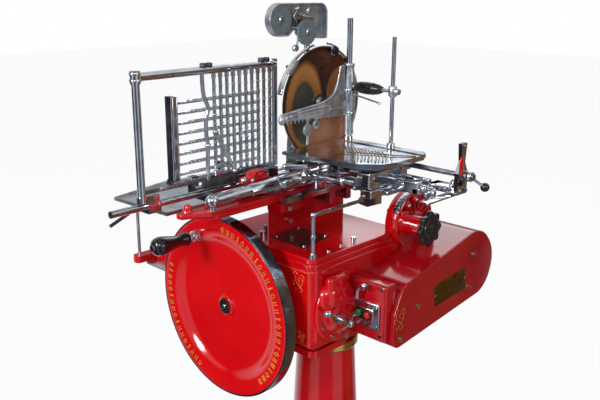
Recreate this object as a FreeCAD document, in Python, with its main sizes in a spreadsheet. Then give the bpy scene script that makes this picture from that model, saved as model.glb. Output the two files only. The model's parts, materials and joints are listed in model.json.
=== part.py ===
import FreeCAD, Part
import os
import math
import Sketcher
from types import SimpleNamespace
from FreeCAD import Placement, Rotation, Vector

# A flywheel meat slicer on a cast pedestal. Lengths are millimetres and angles degrees.
# The origin is the middle of the pedestal's foot on the floor. X runs along the knife shaft and
# the feed of the meat, Y along the flywheel shaft and the travel of the carriage, and Z is up.

DRIVING_SIZES = [
    ("shaft_east", -173.0, "X of the flywheel shaft"),
    ("shaft_high", 760.0, "height of the flywheel shaft and the cross shaft"),
    ("cross_north", 65.0, "Y of the cross shaft and the knife shaft"),
    ("knife_high", 1288.0, "height of the knife shaft"),
    ("knife_edge_east", -84.0, "X of the cutting edge"),
    ("flywheel_radius", 250.0, "outside radius of the flywheel"),
    ("flywheel_front", -230.0, "Y of the flywheel's rim face"),
    ("rim_width", 34.0, "width of the polished rim"),
    ("rim_wall", 5.0, "wall of the polished rim band"),
    ("dish_radius", 196.0, "radius of the flywheel's sunk disc"),
    ("dish_depth", 24.0, "how far the disc is sunk"),
    ("hub_radius", 34.0, "radius of the flywheel hub"),
    ("shaft_radius", 12.0, "radius of the flywheel shaft"),
    ("cross_radius", 10.0, "radius of the cross shaft"),
    ("running_fit", 0.05, "radial clearance of a shaft in its bush"),
    ("gap", 0.4, "clearance between parts of different bodies"),
    ("base_left", -297.0, "left side of the base casting"),
    ("base_right", 100.0, "right side of the base casting"),
    ("base_front", -162.0, "front of the base casting"),
    ("base_back", 215.0, "back of the base casting"),
    ("base_low", 705.0, "underside of the base casting"),
    ("base_high", 941.0, "top of the base casting"),
    ("base_wall", 9.0, "wall of the base casting"),
    ("base_corner", 22.0, "corner radius of the base casting"),
    ("tower_left", -185.0, "left side of the tower under the knife"),
    ("tower_right", -120.0, "right side of the tower"),
    ("tower_front", -42.0, "front of the tower"),
    ("tower_high", 1038.0, "top of the tower"),
    ("pad_thick", 12.0, "thickness of the rubber pads"),
    ("pad_radius", 21.0, "radius of the rubber pads"),
    ("head_thick", 18.0, "thickness of the pedestal head"),
    ("foot_radius", 260.0, "radius of the pedestal foot"),
    ("column_low_radius", 108.0, "column radius above the foot"),
    ("column_top_radius", 75.0, "column radius at the top"),
    ("column_wall", 12.0, "wall of the column"),
    ("collar_radius", 88.0, "outside radius of the brass collar"),
    ("collar_high", 26.0, "height of the brass collar"),
    ("blade_radius", 150.0, "radius of the knife"),
    ("blade_dish", 14.0, "how deep the knife is dished"),
    ("blade_thick", 4.0, "thickness of the knife"),
    ("knife_shaft_radius", 12.0, "radius of the knife shaft"),
    ("chain_east", -143.0, "X of the knife chain"),
    ("big_sprocket", 45.9, "pitch radius of the lower knife sprocket"),
    ("small_sprocket", 15.45, "pitch radius of the knife's own sprocket"),
    ("chain_half", 3.4, "half the height of a chain plate"),
    ("chain_width", 5.0, "width of the chains"),
    ("case_left", 100.4, "inner side of the drive case"),
    ("case_right", 232.0, "seat of the drive case's cover"),
    ("case_wall", 5.0, "wall of the drive case"),
    ("cover_thick", 4.0, "thickness of the drive case's cover"),
    ("motor_north", 372.0, "Y of the motor shaft"),
    ("motor_high", 836.0, "height of the motor shaft"),
    ("motor_radius", 60.0, "radius of the motor"),
    ("case_sprocket", 42.0, "pitch radius of the sprocket on the cross shaft"),
    ("motor_sprocket", 21.0, "pitch radius of the motor's sprocket"),
    ("rod_east", -100.0, "X of the carriage's guide rod"),
    ("rod_high", 1087.0, "height of the guide rod"),
    ("rod_radius", 17.0, "radius of the guide rod"),
    ("rod_ball_north", -309.0, "Y of the guide rod's ball end"),
    ("rod_ball_radius", 17.0, "radius of the ball end"),
    ("rail_high", 1076.0, "height of the two slide rails"),
    ("rail_radius", 9.0, "radius of the slide rails"),
    ("rail_a_east", -208.0, "X of the inner slide rail"),
    ("rail_b_east", -244.0, "X of the outer slide rail"),
    ("rail_front", -526.0, "front end of the slide rails"),
    ("rail_back", 150.0, "back end of the slide rails"),
    ("needle_east", -204.0, "X of the needle frame"),
    ("needle_post_north", -440.0, "Y of the needle frame's post"),
    ("needle_back", 4.0, "Y of the needle frame's back bracket"),
    ("needle_bar_high", 1388.0, "height of the needle frame's top bar"),
    ("needle_low", 1112.0, "height of the needle frame's lower bar"),
    ("needle_count", 10.0, "number of needle bars"),
    ("fork_east", -238.0, "X of the fork behind the needles"),
    ("fork_front", -318.0, "Y of the fork's end plate"),
    ("fork_back", -20.0, "Y of the fork's tips"),
    ("fork_low", 1104.0, "bottom of the fork"),
    ("fork_high", 1326.0, "top of the fork"),
    ("slat_count", 8.0, "number of slats in the fork"),
    ("table_left", -78.0, "left edge of the meat table"),
    ("table_right", 206.0, "right edge of the meat table"),
    ("table_front", -92.0, "front edge of the meat table"),
    ("table_back", 152.0, "back edge of the meat table"),
    ("table_high", 1180.0, "top of the meat table"),
    ("table_thick", 8.0, "thickness of the meat table"),
    ("ledge_thick", 3.0, "height of the ledge that carries the clamp's posts"),
    ("screw_north", 127.0, "Y of the feed screw"),
    ("screw_high", 1150.0, "height of the feed screw"),
    ("screw_radius", 7.0, "radius of the feed screw"),
    ("screw_end", 356.0, "right end of the feed screw"),
    ("crank_arm", 49.0, "length of the feed crank"),
    ("frame_low", 1104.0, "underside of the carriage frame"),
    ("frame_thick", 16.0, "thickness of the carriage frame"),
    ("frame_right", 318.0, "right end of the carriage frame"),
    ("post_north", 140.0, "Y of the clamp post and the guide post"),
    ("post_east", -55.0, "X of the clamp post"),
    ("post_radius", 8.0, "radius of the clamp post"),
    ("post_high", 1507.0, "top of the clamp post"),
    ("guide_east", 93.0, "X of the guide post"),
    ("guide_radius", 5.5, "radius of the guide post"),
    ("guide_high", 1466.0, "top of the guide post"),
    ("sleeve_low", 1248.0, "bottom of the clamp sleeve"),
    ("sleeve_high", 1390.0, "top of the clamp sleeve"),
    ("sleeve_radius", 17.0, "radius of the clamp sleeve"),
    ("grip_bar_high", 1329.0, "height of the clamp's cross bar"),
    ("clamp_front", -122.0, "front end of the serrated clamp bar"),
    ("clamp_high", 1268.0, "height of the serrated clamp bar"),
    ("knob_radius", 50.0, "radius of the thickness knob"),
    ("knob_east", 182.0, "X of the thickness knob's back"),
    ("knob_thick", 14.0, "thickness of the thickness knob"),
    ("knob_north", 196.0, "Y of the thickness knob"),
    ("knob_high", 966.0, "height of the thickness knob"),
    ("stop_east", 78.0, "X of the stop rod"),
    ("stop_north", -140.0, "Y of the stop rod"),
    ("stop_high", 1053.0, "height of the stop rod's arm"),
    ("stop_reach", 180.0, "reach of the stop rod's arm"),
    ("stop_radius", 5.0, "radius of the stop rod"),
    ("panel_front", -28.0, "front of the switch panel"),
    ("switch_north", -33.0, "front of the switch plate"),
    ("tray_high", 950.0, "height of the upper slice tray"),
    ("drip_high", 772.0, "height of the lower tray"),
    ("gear_radius", 24.0, "pitch radius of the two bevel gears"),
    ("gear_width", 9.0, "length of the bevel teeth along the shaft"),
    ("bush_radius", 19.0, "outside radius of the shaft bushes"),
    ("web_back", -4.0, "back face of the web inside the base"),
    ("eccentric_east", -58.0, "X of the eccentric"),
    ("eccentric_radius", 30.0, "radius of the eccentric"),
    ("eccentric_throw", 16.0, "throw of the eccentric"),
    ("beam_left", -150.0, "left side of the rail beam"),
    ("beam_right", -95.0, "right side of the rail beam"),
    ("beam_front", -385.0, "front end of the rail beam"),
    ("beam_high", 1062.0, "top of the rail beam"),
    ("stand_left", -166.0, "left side of the knife stand"),
    ("stand_right", -126.0, "right side of the knife stand"),
    ("guard_inner", 153.0, "inside radius of the knife guard"),
    ("guard_outer", 161.0, "outside radius of the knife guard"),
    ("sleeve_front", -96.0, "front of the carriage's rod sleeve"),
    ("sleeve_back", 60.0, "back of the carriage's rod sleeve"),
    ("sleeve_wall", 5.0, "wall of the carriage's rod sleeve"),
    ("stone_one_radius", 37.0, "radius of the grinding stone"),
    ("stone_two_radius", 32.0, "radius of the honing stone"),
    ("head_post_east", -142.0, "X of the post that carries the sharpener"),
    ("fork_pivot_east", -262.0, "X of the fork's pivot rod"),
    ("fork_pivot_high", 1100.0, "height of the fork's pivot rod"),
    ("wing_north", -112.0, "Y of the wing handle"),
    ("wing_high", 790.0, "height of the wing handle"),
    ("dome_north", -62.0, "Y of the bearing dome"),
    ("dome_high", 796.0, "height of the bearing dome"),
    ("button_radius", 9.0, "radius of the two buttons"),
]

HALF = 0.5
FULL_TURN = 360.0


class Size:
    """A length that carries its number and the spreadsheet formula that gives it."""

    def __init__(self, number, formula):
        self.number = number
        self.formula = formula

    def combine(self, sign, other, number):
        return Size(number, "(%s %s %s)" % (self.formula, sign, as_size(other).formula))

    def __add__(self, other):
        return self.combine("+", other, self.number + as_size(other).number)

    def __sub__(self, other):
        return self.combine("-", other, self.number - as_size(other).number)

    def __mul__(self, other):
        return self.combine("*", other, self.number * as_size(other).number)

    def __truediv__(self, other):
        return self.combine("/", other, self.number / as_size(other).number)

    def __radd__(self, other):
        return as_size(other) + self

    def __rsub__(self, other):
        return as_size(other) - self

    def __rmul__(self, other):
        return as_size(other) * self

    def __neg__(self):
        return as_size(0.0) - self


def as_size(value):
    if isinstance(value, Size):
        return value
    return Size(float(value), "%.6f" % float(value))


doc = FreeCAD.newDocument("MeatSlicer")
sheet = doc.addObject("Spreadsheet::Sheet", "Sizes")
d = SimpleNamespace()
for row, (word, number, meaning) in enumerate(DRIVING_SIZES, start=1):
    sheet.set("A%d" % row, meaning)
    sheet.set("B%d" % row, "%.4f" % number)
    sheet.setAlias("B%d" % row, word)
    setattr(d, word, Size(number, "Sizes." + word))
doc.recompute()

NODES = []


def bind(thing, prop, value):
    """Set a property and tie it to the sheet."""
    value = as_size(value)
    thing.setExpression(prop, value.formula)


TURNS = {
    "X": Rotation(Vector(0, 1, 0), 90),
    "Y": Rotation(Vector(1, 0, 0), -90),
    "Z": Rotation(),
}


def place(thing, x, y, z, rotation=None):
    thing.Placement = Placement(Vector(0, 0, 0), rotation or Rotation())
    for prop, value in (("x", x), ("y", y), ("z", z)):
        bind(thing, "Placement.Base." + prop, value)
    return thing


def box(left, front, low, right, back, high):
    """A block between two corners."""
    thing = doc.addObject("Part::Box", "Block")
    for prop, start, end in (("Length", left, right), ("Width", front, back), ("Height", low, high)):
        bind(thing, prop, as_size(end) - start)
    return place(thing, left, front, low)


def rod(axis, radius, x, y, z, length, rotation=None):
    """A cylinder that starts at a point and runs along an axis."""
    thing = doc.addObject("Part::Cylinder", "Rod")
    bind(thing, "Radius", radius)
    bind(thing, "Height", length)
    return place(thing, x, y, z, rotation or TURNS[axis])


def taper(axis, start, end, x, y, z, length, rotation=None):
    """A cone between two radii."""
    thing = doc.addObject("Part::Cone", "Taper")
    bind(thing, "Radius1", start)
    bind(thing, "Radius2", end)
    bind(thing, "Height", length)
    return place(thing, x, y, z, rotation or TURNS[axis])


def ball(radius, x, y, z):
    thing = doc.addObject("Part::Sphere", "Ball")
    bind(thing, "Radius", radius)
    return place(thing, x, y, z)


def strut(radius, start, end):
    """A round bar between two points, given as plain numbers or sizes."""
    first = Vector(*[as_size(v).number for v in start])
    last = Vector(*[as_size(v).number for v in end])
    span = last - first
    turn = Rotation(Vector(0, 0, 1), span)
    return rod("Z", radius, start[0], start[1], start[2], span.Length, turn)


def join(parts):
    thing = doc.addObject("Part::MultiFuse", "Joined")
    thing.Shapes = parts
    return thing


def carve(base, tools):
    """Take one or more tools away from a solid."""
    thing = doc.addObject("Part::Cut", "Carved")
    thing.Base = base
    thing.Tool = tools[0] if len(tools) == 1 else join(tools)
    return thing


def gather(parts):
    """Separate solids that share one node."""
    thing = doc.addObject("Part::Compound", "Group")
    thing.Links = parts
    return thing


def node(label, thing):
    thing.Label = label
    NODES.append(thing)
    return thing


def rounded(thing, radius, chosen):
    """Fillet the edges that a test on an edge picks."""
    doc.recompute()
    edges = [i for i, edge in enumerate(thing.Shape.Edges, start=1) if chosen(edge)]
    fillet = doc.addObject("Part::Fillet", "Rounded")
    fillet.Base = thing
    size = as_size(radius).number
    fillet.Edges = [(i, size, size) for i in edges]
    return fillet


def along(direction):
    """A test for straight edges that run along a direction."""
    def chosen(edge):
        if not isinstance(edge.Curve, Part.Line):
            return False
        return abs(edge.tangentAt(edge.FirstParameter).dot(direction)) > 0.999
    return chosen


UP = Vector(0, 0, 1)


def origin_plane(body, role):
    return [f for f in body.Origin.OriginFeatures if f.Role == role][0]


def drawn(body, role, name, points):
    """A closed sketch whose corners are tied to the sheet."""
    sketch = body.newObject("Sketcher::SketchObject", name)
    sketch.AttachmentSupport = [(origin_plane(body, role), "")]
    sketch.MapMode = "FlatFace"
    corners = [(as_size(a), as_size(b)) for a, b in points]
    for index, (a, b) in enumerate(corners):
        c, e = corners[(index + 1) % len(corners)]
        sketch.addGeometry(Part.LineSegment(Vector(a.number, b.number, 0), Vector(c.number, e.number, 0)))
    for index in range(len(corners)):
        following = (index + 1) % len(corners)
        sketch.addConstraint(Sketcher.Constraint("Coincident", index, 2, following, 1))
    for index, (a, b) in enumerate(corners):
        for kind, value in (("DistanceX", a), ("DistanceY", b)):
            spot = sketch.addConstraint(Sketcher.Constraint(kind, -1, 1, index, 1, value.number))
            sketch.setExpression("Constraints[%d]" % spot, value.formula)
    return sketch


def turned(name, axis, x, y, z, points):
    """A body turned from a profile of (radius, distance along the axis) corners."""
    body = doc.addObject("PartDesign::Body", name)
    sketch = drawn(body, "XZ_Plane", name + "_profile", points)
    doc.recompute()
    spin = body.newObject("PartDesign::Revolution", name + "_turn")
    spin.Profile = sketch
    spin.ReferenceAxis = (sketch, ["V_Axis"])
    spin.Angle = FULL_TURN
    body.Tip = spin
    return place(body, x, y, z, TURNS[axis])


def cut_out(name, role, points, start, length):
    """A body made from an outline drawn on a plane through the origin and pushed along its normal."""
    body = doc.addObject("PartDesign::Body", name)
    sketch = drawn(body, role, name + "_outline", points)
    doc.recompute()
    pad = body.newObject("PartDesign::Pad", name + "_push")
    pad.Profile = sketch
    bind(pad, "Length", length)
    body.Tip = pad
    shift = {"XY_Plane": ("z", 1.0), "XZ_Plane": ("y", 1.0), "YZ_Plane": ("x", 1.0)}[role]
    bind(body, "Placement.Base." + shift[0], start)
    return body


# ---- the pedestal ----

collar_low = 646.0
head_low = 675.0
head_high = as_size(head_low) + d.head_thick
node("pedestal_column", turned("PedestalColumn", "Z", 0, 0, 0, [
    (0, 0), (d.foot_radius, 0), (d.foot_radius, 14), (235, 34), (160, 62), (118, 100),
    (d.column_low_radius, 150), (d.column_top_radius + 4, collar_low), (d.column_top_radius, collar_low),
    (d.column_top_radius, head_low), (0, head_low), (0, 655), (d.column_top_radius - d.column_wall, 655),
    (d.column_low_radius - d.column_wall, 150), (107, 98), (148, 54), (224, 26), (224, 12), (0, 12)]))

node("column_collar", turned("ColumnCollar", "Z", 0, 0, collar_low, [
    (d.column_top_radius, 0), (d.collar_radius - 3, 0), (d.collar_radius, 4),
    (d.collar_radius, d.collar_high - 4), (d.collar_radius - 3, d.collar_high),
    (d.column_top_radius, d.collar_high)]))

head_left = d.base_left + 12
head_right = d.base_right - 5
head_front = d.base_front + 7
head_back = d.base_back - 10
middle_east = (head_left + head_right) * HALF
middle_north = (head_front + head_back) * HALF
head_plate = rounded(box(head_left, head_front, head_low, head_right, head_back, head_high), 20, along(UP))
scallop = 120.0
node("pedestal_head", carve(head_plate, [
    rod("Z", scallop, head_left - 62, middle_north, head_low - 1, d.head_thick + 2),
    rod("Z", scallop, head_right + 104, middle_north, head_low - 1, d.head_thick + 2),
    rod("Z", scallop, middle_east, head_front - 62, head_low - 1, d.head_thick + 2),
    rod("Z", scallop, middle_east, head_back + 62, head_low - 1, d.head_thick + 2)]))

corners = [(d.base_left + 38, d.base_front + 35), (d.base_left + 38, d.base_back - 37),
           (d.base_right - 32, d.base_front + 35), (d.base_right - 32, d.base_back - 37)]
node("rubber_pads", gather([rod("Z", d.pad_radius, x, y, head_high, d.pad_thick) for x, y in corners]))

# ---- the base casting with the tower under the knife ----


def on_level(level):
    """A test for edges that lie flat at one height."""
    height = as_size(level).number

    def chosen(edge):
        return all(abs(v.Z - height) < 0.01 for v in edge.Vertexes)
    return chosen


def stepped_block(inset, low, high, corner, soft):
    """One step of the base: a block with round corners and a soft top edge."""
    block = box(d.base_left + inset, d.base_front + inset, low, d.base_right - inset, d.base_back - inset, high)
    return rounded(rounded(block, corner, along(UP)), soft, on_level(high))


wall = d.base_wall
lower_step = d.base_high - 27
inner_left = d.base_left + wall
inner_right = d.base_right - wall
inner_front = d.base_front + wall
inner_back = d.base_back - wall
base_block = join([
    stepped_block(0, d.base_low, lower_step, d.base_corner, 5),
    stepped_block(4, lower_step - 10, d.base_high - 13, 18, 4),
    stepped_block(9, lower_step - 10, d.base_high, 14, 4)])
base_shell = carve(base_block, [
    box(inner_left, inner_front, d.base_low - 1, inner_right, inner_back, lower_step - wall),
    box(inner_left + 15, inner_front + 15, lower_step - wall - 1, inner_right - 15, inner_back - 15,
        d.base_high - wall)])
lugs = [box(x - 31, y - 31, d.base_low, x + 31, y + 31, d.base_low + 15) for x, y in corners]
# The chain runs inside the tower, so the tower and the beam above it are hollow here.
slot_left = d.chain_east - 16
slot_right = d.chain_east + 11
slot_front = d.cross_north - 48
slot_back = d.cross_north + 48
tower = cut_out("Tower", "XY_Plane", [
    (d.tower_left, d.tower_front), (d.tower_right - 8, d.tower_front - 52), (d.tower_right, d.tower_front - 52),
    (d.tower_right, d.base_back - 13), (d.tower_left, d.base_back - 13)], d.base_high - wall - 1,
    d.tower_high - d.base_high + wall + 1)
ledge = box(d.tower_right - 10, d.tower_front - 54, d.tower_high - 24, d.tower_right + 42, d.tower_front + 62,
            d.tower_high - 0.5)
front_boss = rod("Y", 40, d.shaft_east, d.base_front - 10, d.shaft_high, 22)
left_boss = rod("X", 30, d.base_left - 8, d.cross_north, d.shaft_high, 24)
right_boss = rod("X", 30, d.base_right - 24, d.cross_north, d.shaft_high, 24)
web = box(inner_left - 1, d.web_back - 12, d.base_low, -50, d.web_back, d.base_high - wall + 1)
web_boss = rod("Y", 32, d.shaft_east, d.web_back - 15, d.shaft_high, 18)
stop_lug = rod("Z", 12, d.stop_east, d.stop_north, d.base_high - 42, 36)
base = join([base_shell] + lugs + [stop_lug, tower, ledge, front_boss, left_boss, right_boss, web, web_boss])
base = carve(base, [
    rod("Y", d.bush_radius, d.shaft_east, d.base_front - 20, d.shaft_high, 210),
    rod("X", d.bush_radius, d.base_left - 20, d.cross_north, d.shaft_high, 60),
    rod("X", d.bush_radius, d.base_right - 40, d.cross_north, d.shaft_high, 60),
    rod("Z", d.stop_radius + d.running_fit, d.stop_east, d.stop_north, d.base_high - 44, 60),
    box(slot_left, slot_front, d.base_high - 30, slot_right, slot_back, d.tower_high + 10)])
node("base_casting", base)

bush_bore = d.shaft_radius + d.running_fit
cross_bore = d.cross_radius + d.running_fit


def bush(axis, outer, inner, x, y, z, length):
    """A plain bush that starts at a point."""
    step = {"X": (1, 0, 0), "Y": (0, 1, 0), "Z": (0, 0, 1)}[axis]
    return carve(rod(axis, outer, x, y, z, length),
                 [rod(axis, inner, x - step[0], y - step[1], z - step[2], as_size(length) + 2)])


knife_bore = d.knife_shaft_radius + d.running_fit
node("bearing_bushes", gather([
    bush("Y", d.bush_radius, bush_bore, d.shaft_east, d.base_front - 10, d.shaft_high, 22),
    bush("Y", d.bush_radius, bush_bore, d.shaft_east, d.web_back - 15, d.shaft_high, 18),
    bush("X", d.bush_radius, cross_bore, d.base_left - 8, d.cross_north, d.shaft_high, 20),
    bush("X", d.bush_radius, cross_bore, d.base_right - 24, d.cross_north, d.shaft_high, 24),
    bush("X", d.bush_radius, knife_bore, d.stand_left - 6, d.cross_north, d.knife_high, 14),
    bush("X", d.bush_radius, knife_bore, d.stand_right - 8, d.cross_north, d.knife_high, 30)]))

node("inspection_cover", cut_out("InspectionCover", "XY_Plane", [
    (-111, -98), (14, -105), (-5, 14), (-120, 9)], d.base_high, 3))

# ---- the beam, the guide rod and the rails ----

beam = join([
    box(d.beam_left, d.beam_front, d.tower_high, d.beam_right, d.tower_front, d.beam_high),
    box(d.stand_left, d.tower_front, d.tower_high, d.beam_right, d.base_back - 13, d.beam_high)])
beam_ear = rod("Z", 9, d.beam_left + 12, d.beam_front + 30, d.beam_high - 2, 16)
beam_hollow = box(d.beam_left + 8, d.beam_front + 8, d.tower_high - 1, d.beam_right - 8, d.tower_front - 70,
                  d.beam_high - 8)
node("rail_beam", carve(join([beam, beam_ear]), [
    beam_hollow, box(slot_left, slot_front, d.tower_high - 1, slot_right, slot_back, d.beam_high + 1)]))

rod_back = d.base_back - 13
ball_post = rod("Z", 8, d.rod_east, d.rod_ball_north, d.beam_high, d.rod_high - d.beam_high)
guide_parts = [
    ball(d.rod_ball_radius, d.rod_east, d.rod_ball_north, d.rod_high),
    taper("Y", d.rod_radius - 6, d.rod_radius, d.rod_east, d.rod_ball_north, d.rod_high, 60),
    rod("Y", d.rod_radius, d.rod_east, d.rod_ball_north + 60, d.rod_high, rod_back - d.rod_ball_north - 60),
    ball_post,
    box(d.rod_east - 9, rod_back - 24, d.beam_high, d.rod_east + 9, rod_back, d.rod_high - 8)]
node("guide_rod", join(guide_parts))

bracket_front = -250.0
rails = [rod("Y", d.rail_radius, east, front, d.rail_high, d.rail_back - front)
         for east, front in ((d.rail_a_east, d.rail_front), (d.rail_b_east, as_size(bracket_front)))]
rail_brackets = [box(d.rail_b_east - 10, front, d.rail_high - 22, side, front + 22, d.rail_high - 2)
                 for front, side in ((as_size(bracket_front), d.beam_left), (d.rail_back - 22, d.stand_left))]
fork_arm = box(d.fork_pivot_east - 9, bracket_front, d.rail_high - 22, d.rail_b_east - 8, bracket_front + 22,
               d.fork_pivot_high + 9)
fork_pin = rod("Y", 5, d.fork_pivot_east, d.fork_front, d.fork_pivot_high, d.fork_back - d.fork_front)
node("slide_rails", join(rails + rail_brackets + [fork_arm, fork_pin]))

# ---- the knife, its stand and its drive ----

stand_foot = [(d.cross_north - 60, d.beam_high), (d.cross_north + 60, d.beam_high),
              (d.cross_north + 42, d.knife_high), (d.cross_north - 42, d.knife_high)]
stand_core = [(d.cross_north - 52, d.beam_high - 5), (d.cross_north + 52, d.beam_high - 5),
              (d.cross_north + 34, d.knife_high), (d.cross_north - 34, d.knife_high)]
stand_body = join([
    cut_out("StandBody", "YZ_Plane", stand_foot, d.stand_left, d.stand_right - d.stand_left),
    rod("X", 42, d.stand_left, d.cross_north, d.knife_high, d.stand_right - d.stand_left),
    rod("X", 29, d.stand_left - 6, d.cross_north, d.knife_high, 10),
    rod("X", 29, d.stand_right - 4, d.cross_north, d.knife_high, 26),
    rod("Z", 11, d.head_post_east, d.cross_north, d.knife_high + 36, 12),
    rod("Z", 8, d.head_post_east, d.cross_north, d.knife_high + 40, 194)])
stand_hollow = join([
    cut_out("StandHollow", "YZ_Plane", stand_core, d.stand_left + 8, d.stand_right - d.stand_left - 16),
    rod("X", 34, d.stand_left + 8, d.cross_north, d.knife_high, d.stand_right - d.stand_left - 16)])
node("knife_stand", carve(stand_body, [
    stand_hollow, rod("X", d.bush_radius, d.stand_left - 20, d.cross_north, d.knife_high, 90)]))

node("knife_blade", turned("KnifeBlade", "X", d.knife_edge_east, d.cross_north, d.knife_high, [
    (d.knife_shaft_radius, -12), (46, -12), (58, -11), (118, -8), (d.blade_radius - 9, -3), (d.blade_radius, 0),
    (d.blade_radius - 1, -1.5), (d.blade_radius - 11, -7), (117, -12), (58, -15), (46, -16),
    (d.knife_shaft_radius, -16)]))

shaft_left = d.stand_left - 12
neck_radius = 8.5
knife_shaft = join([
    rod("X", d.knife_shaft_radius, shaft_left, d.cross_north, d.knife_high, d.chain_east - 8 - shaft_left),
    rod("X", neck_radius, d.chain_east - 9, d.cross_north, d.knife_high, 18),
    rod("X", d.knife_shaft_radius, d.chain_east + 8, d.cross_north, d.knife_high,
        d.knife_edge_east - d.chain_east - 10),
    rod("X", 22, d.knife_edge_east - 12, d.cross_north, d.knife_high, 5),
    rod("X", 17, d.knife_edge_east - 16 - 4 + d.gap, d.cross_north, d.knife_high, 4 - d.gap),
    taper("X", 16, 11, d.knife_edge_east - 7, d.cross_north, d.knife_high, 8)])
node("knife_shaft", knife_shaft)

guard = carve(rod("X", d.guard_outer, d.knife_edge_east - 17, d.cross_north, d.knife_high, 16),
              [rod("X", d.guard_inner, d.knife_edge_east - 18, d.cross_north, d.knife_high, 18),
               box(d.knife_edge_east - 19, d.cross_north - 30, 900, d.knife_edge_east, 400, 1500),
               box(d.knife_edge_east - 19, -200, 900, d.knife_edge_east, 400, d.knife_high + 34)])
guard_arms = [strut(5, (d.stand_right - 4, d.cross_north - 34, d.knife_high + 14),
                    (d.knife_edge_east - 13, d.cross_north - 118, d.knife_high + 104))]
node("knife_guard", carve(join([guard] + guard_arms), [
    box(d.stand_left, d.cross_north - 80, 1240, d.stand_right, d.cross_north + 20, 1360)]))

# ---- the flywheel and its shaft ----

node("flywheel", turned("Flywheel", "Y", d.shaft_east, d.flywheel_front, d.shaft_high, [
    (d.shaft_radius, d.dish_depth), (d.hub_radius, d.dish_depth), (d.hub_radius + 3, d.dish_depth + 2),
    (d.dish_radius - 4, d.dish_depth), (d.dish_radius, d.dish_depth - 3), (d.dish_radius + 4, 1),
    (d.dish_radius + 7, 0),
    (d.flywheel_radius - d.rim_wall, 0), (d.flywheel_radius - d.rim_wall, d.rim_width - 1),
    (d.flywheel_radius - 20, d.rim_width - 1), (d.dish_radius + 18, 10), (d.dish_radius + 8, d.dish_depth + 8),
    (60, d.dish_depth + 8), (46, 48), (d.shaft_radius, 48)]))
node("flywheel_rim", turned("FlywheelRim", "Y", d.shaft_east, d.flywheel_front, d.shaft_high, [
    (d.flywheel_radius - d.rim_wall, 0), (d.flywheel_radius - 2, 0), (d.flywheel_radius, 2),
    (d.flywheel_radius, d.rim_width - 2), (d.flywheel_radius - 2, d.rim_width),
    (d.flywheel_radius - d.rim_wall, d.rim_width)]))
pin_east = d.shaft_east - 94
pin_high = d.shaft_high + 180
node("grip_pin", join([
    rod("Y", 6, pin_east, d.flywheel_front - 146, pin_high, 146),
    rod("Y", 12, pin_east, d.flywheel_front - 27, pin_high, 27),
    rod("Y", 9, pin_east, d.flywheel_front - 146, pin_high, 4)]))
node("crank_grip", turned("CrankGrip", "Y", pin_east, d.flywheel_front - 141.5, pin_high, [
    (6 + d.running_fit, 0), (15, 0), (21, 5), (25, 20), (24, 36), (18, 60), (15.5, 78), (16, 90), (19, 102),
    (18.5, 109), (14, 114), (6 + d.running_fit, 114)]))
shaft_back = d.cross_north - d.gear_radius + d.gear_width + 1
node("main_shaft", join([
    rod("Y", d.shaft_radius, d.shaft_east, d.flywheel_front + 18, d.shaft_high, shaft_back - d.flywheel_front - 18),
    rod("Y", 25, d.shaft_east, d.flywheel_front + 18, d.shaft_high, d.dish_depth - 18),
    rod("Y", 17, d.shaft_east, d.web_back + 3.4, d.shaft_high, 6)]))

tooth_count = 18


def bevel_gear(axis):
    """A bevel gear whose pitch cone ends on the crossing point of the two shafts."""
    back = d.gear_radius - 2.6
    front = d.gear_radius - d.gear_width - 2.6
    bore = d.shaft_radius if axis == "Y" else d.cross_radius
    if axis == "Y":
        start = (d.shaft_east, d.cross_north - d.gear_radius, d.shaft_high)
        turn = Rotation(Vector(1, 0, 0), -90)
    else:
        start = (d.shaft_east - d.gear_radius, d.cross_north, d.shaft_high)
        turn = Rotation(Vector(0, 1, 0), 90)
    cone = taper(axis, back, front, start[0], start[1], start[2], d.gear_width)
    teeth = []
    for index in range(tooth_count):
        spin = Rotation(Vector(0, 0, 1), index * FULL_TURN / tooth_count)
        lean = Rotation(Vector(0, 1, 0), -45)
        tooth = doc.addObject("Part::Box", "Tooth")
        bind(tooth, "Length", 2.4)
        bind(tooth, "Width", 2.4)
        bind(tooth, "Height", d.gear_width * 1.3)
        whole = turn.multiply(spin)
        offset = whole.multVec(Vector(d.gear_radius.number - 4.7, -1.2, 0.9))
        tooth.Placement = Placement(Vector(0, 0, 0), whole.multiply(lean))
        for prop, base_at, shift in zip("xyz", start, offset):
            bind(tooth, "Placement.Base." + prop, base_at + shift)
        teeth.append(tooth)
    step = (1, 0, 0) if axis == "X" else (0, 1, 0)
    hub = rod(axis, 17, start[0] - 7 * step[0], start[1] - 7 * step[1], start[2], 8)
    bore_hole = rod(axis, bore, start[0] - 9 * step[0], start[1] - 9 * step[1], start[2], 60)
    return carve(join([cone, hub] + teeth), [bore_hole])


node("main_bevel_gear", bevel_gear("Y"))
node("cross_bevel_gear", bevel_gear("X"))

# ---- the cross shaft, its eccentric and the sprockets ----

case_sprocket_east = 190.0
cross_start = d.base_left - 6
node("cross_shaft", join([
    rod("X", d.cross_radius, cross_start, d.cross_north, d.shaft_high, case_sprocket_east + 12 - cross_start),
    rod("X", 17, d.base_left + 12 + d.gap, d.cross_north, d.shaft_high, 6),
    rod("X", 17, d.base_right - 24 - d.gap - 6, d.cross_north, d.shaft_high, 6)]))
strap_width = 10.0
centre_north = d.cross_north + d.eccentric_throw
node("eccentric", carve(join([
    rod("X", d.eccentric_radius, d.eccentric_east - 2, centre_north, d.shaft_high, strap_width + 4),
    rod("X", d.eccentric_radius + 4, d.eccentric_east - 4, centre_north, d.shaft_high, 4 - d.gap),
    rod("X", d.eccentric_radius + 4, d.eccentric_east + strap_width + d.gap, centre_north, d.shaft_high, 3),
    rod("X", 16, d.eccentric_east - 16, d.cross_north, d.shaft_high, 13)]),
    [rod("X", d.cross_radius, d.eccentric_east - 24, d.cross_north, d.shaft_high, 56)]))
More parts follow.
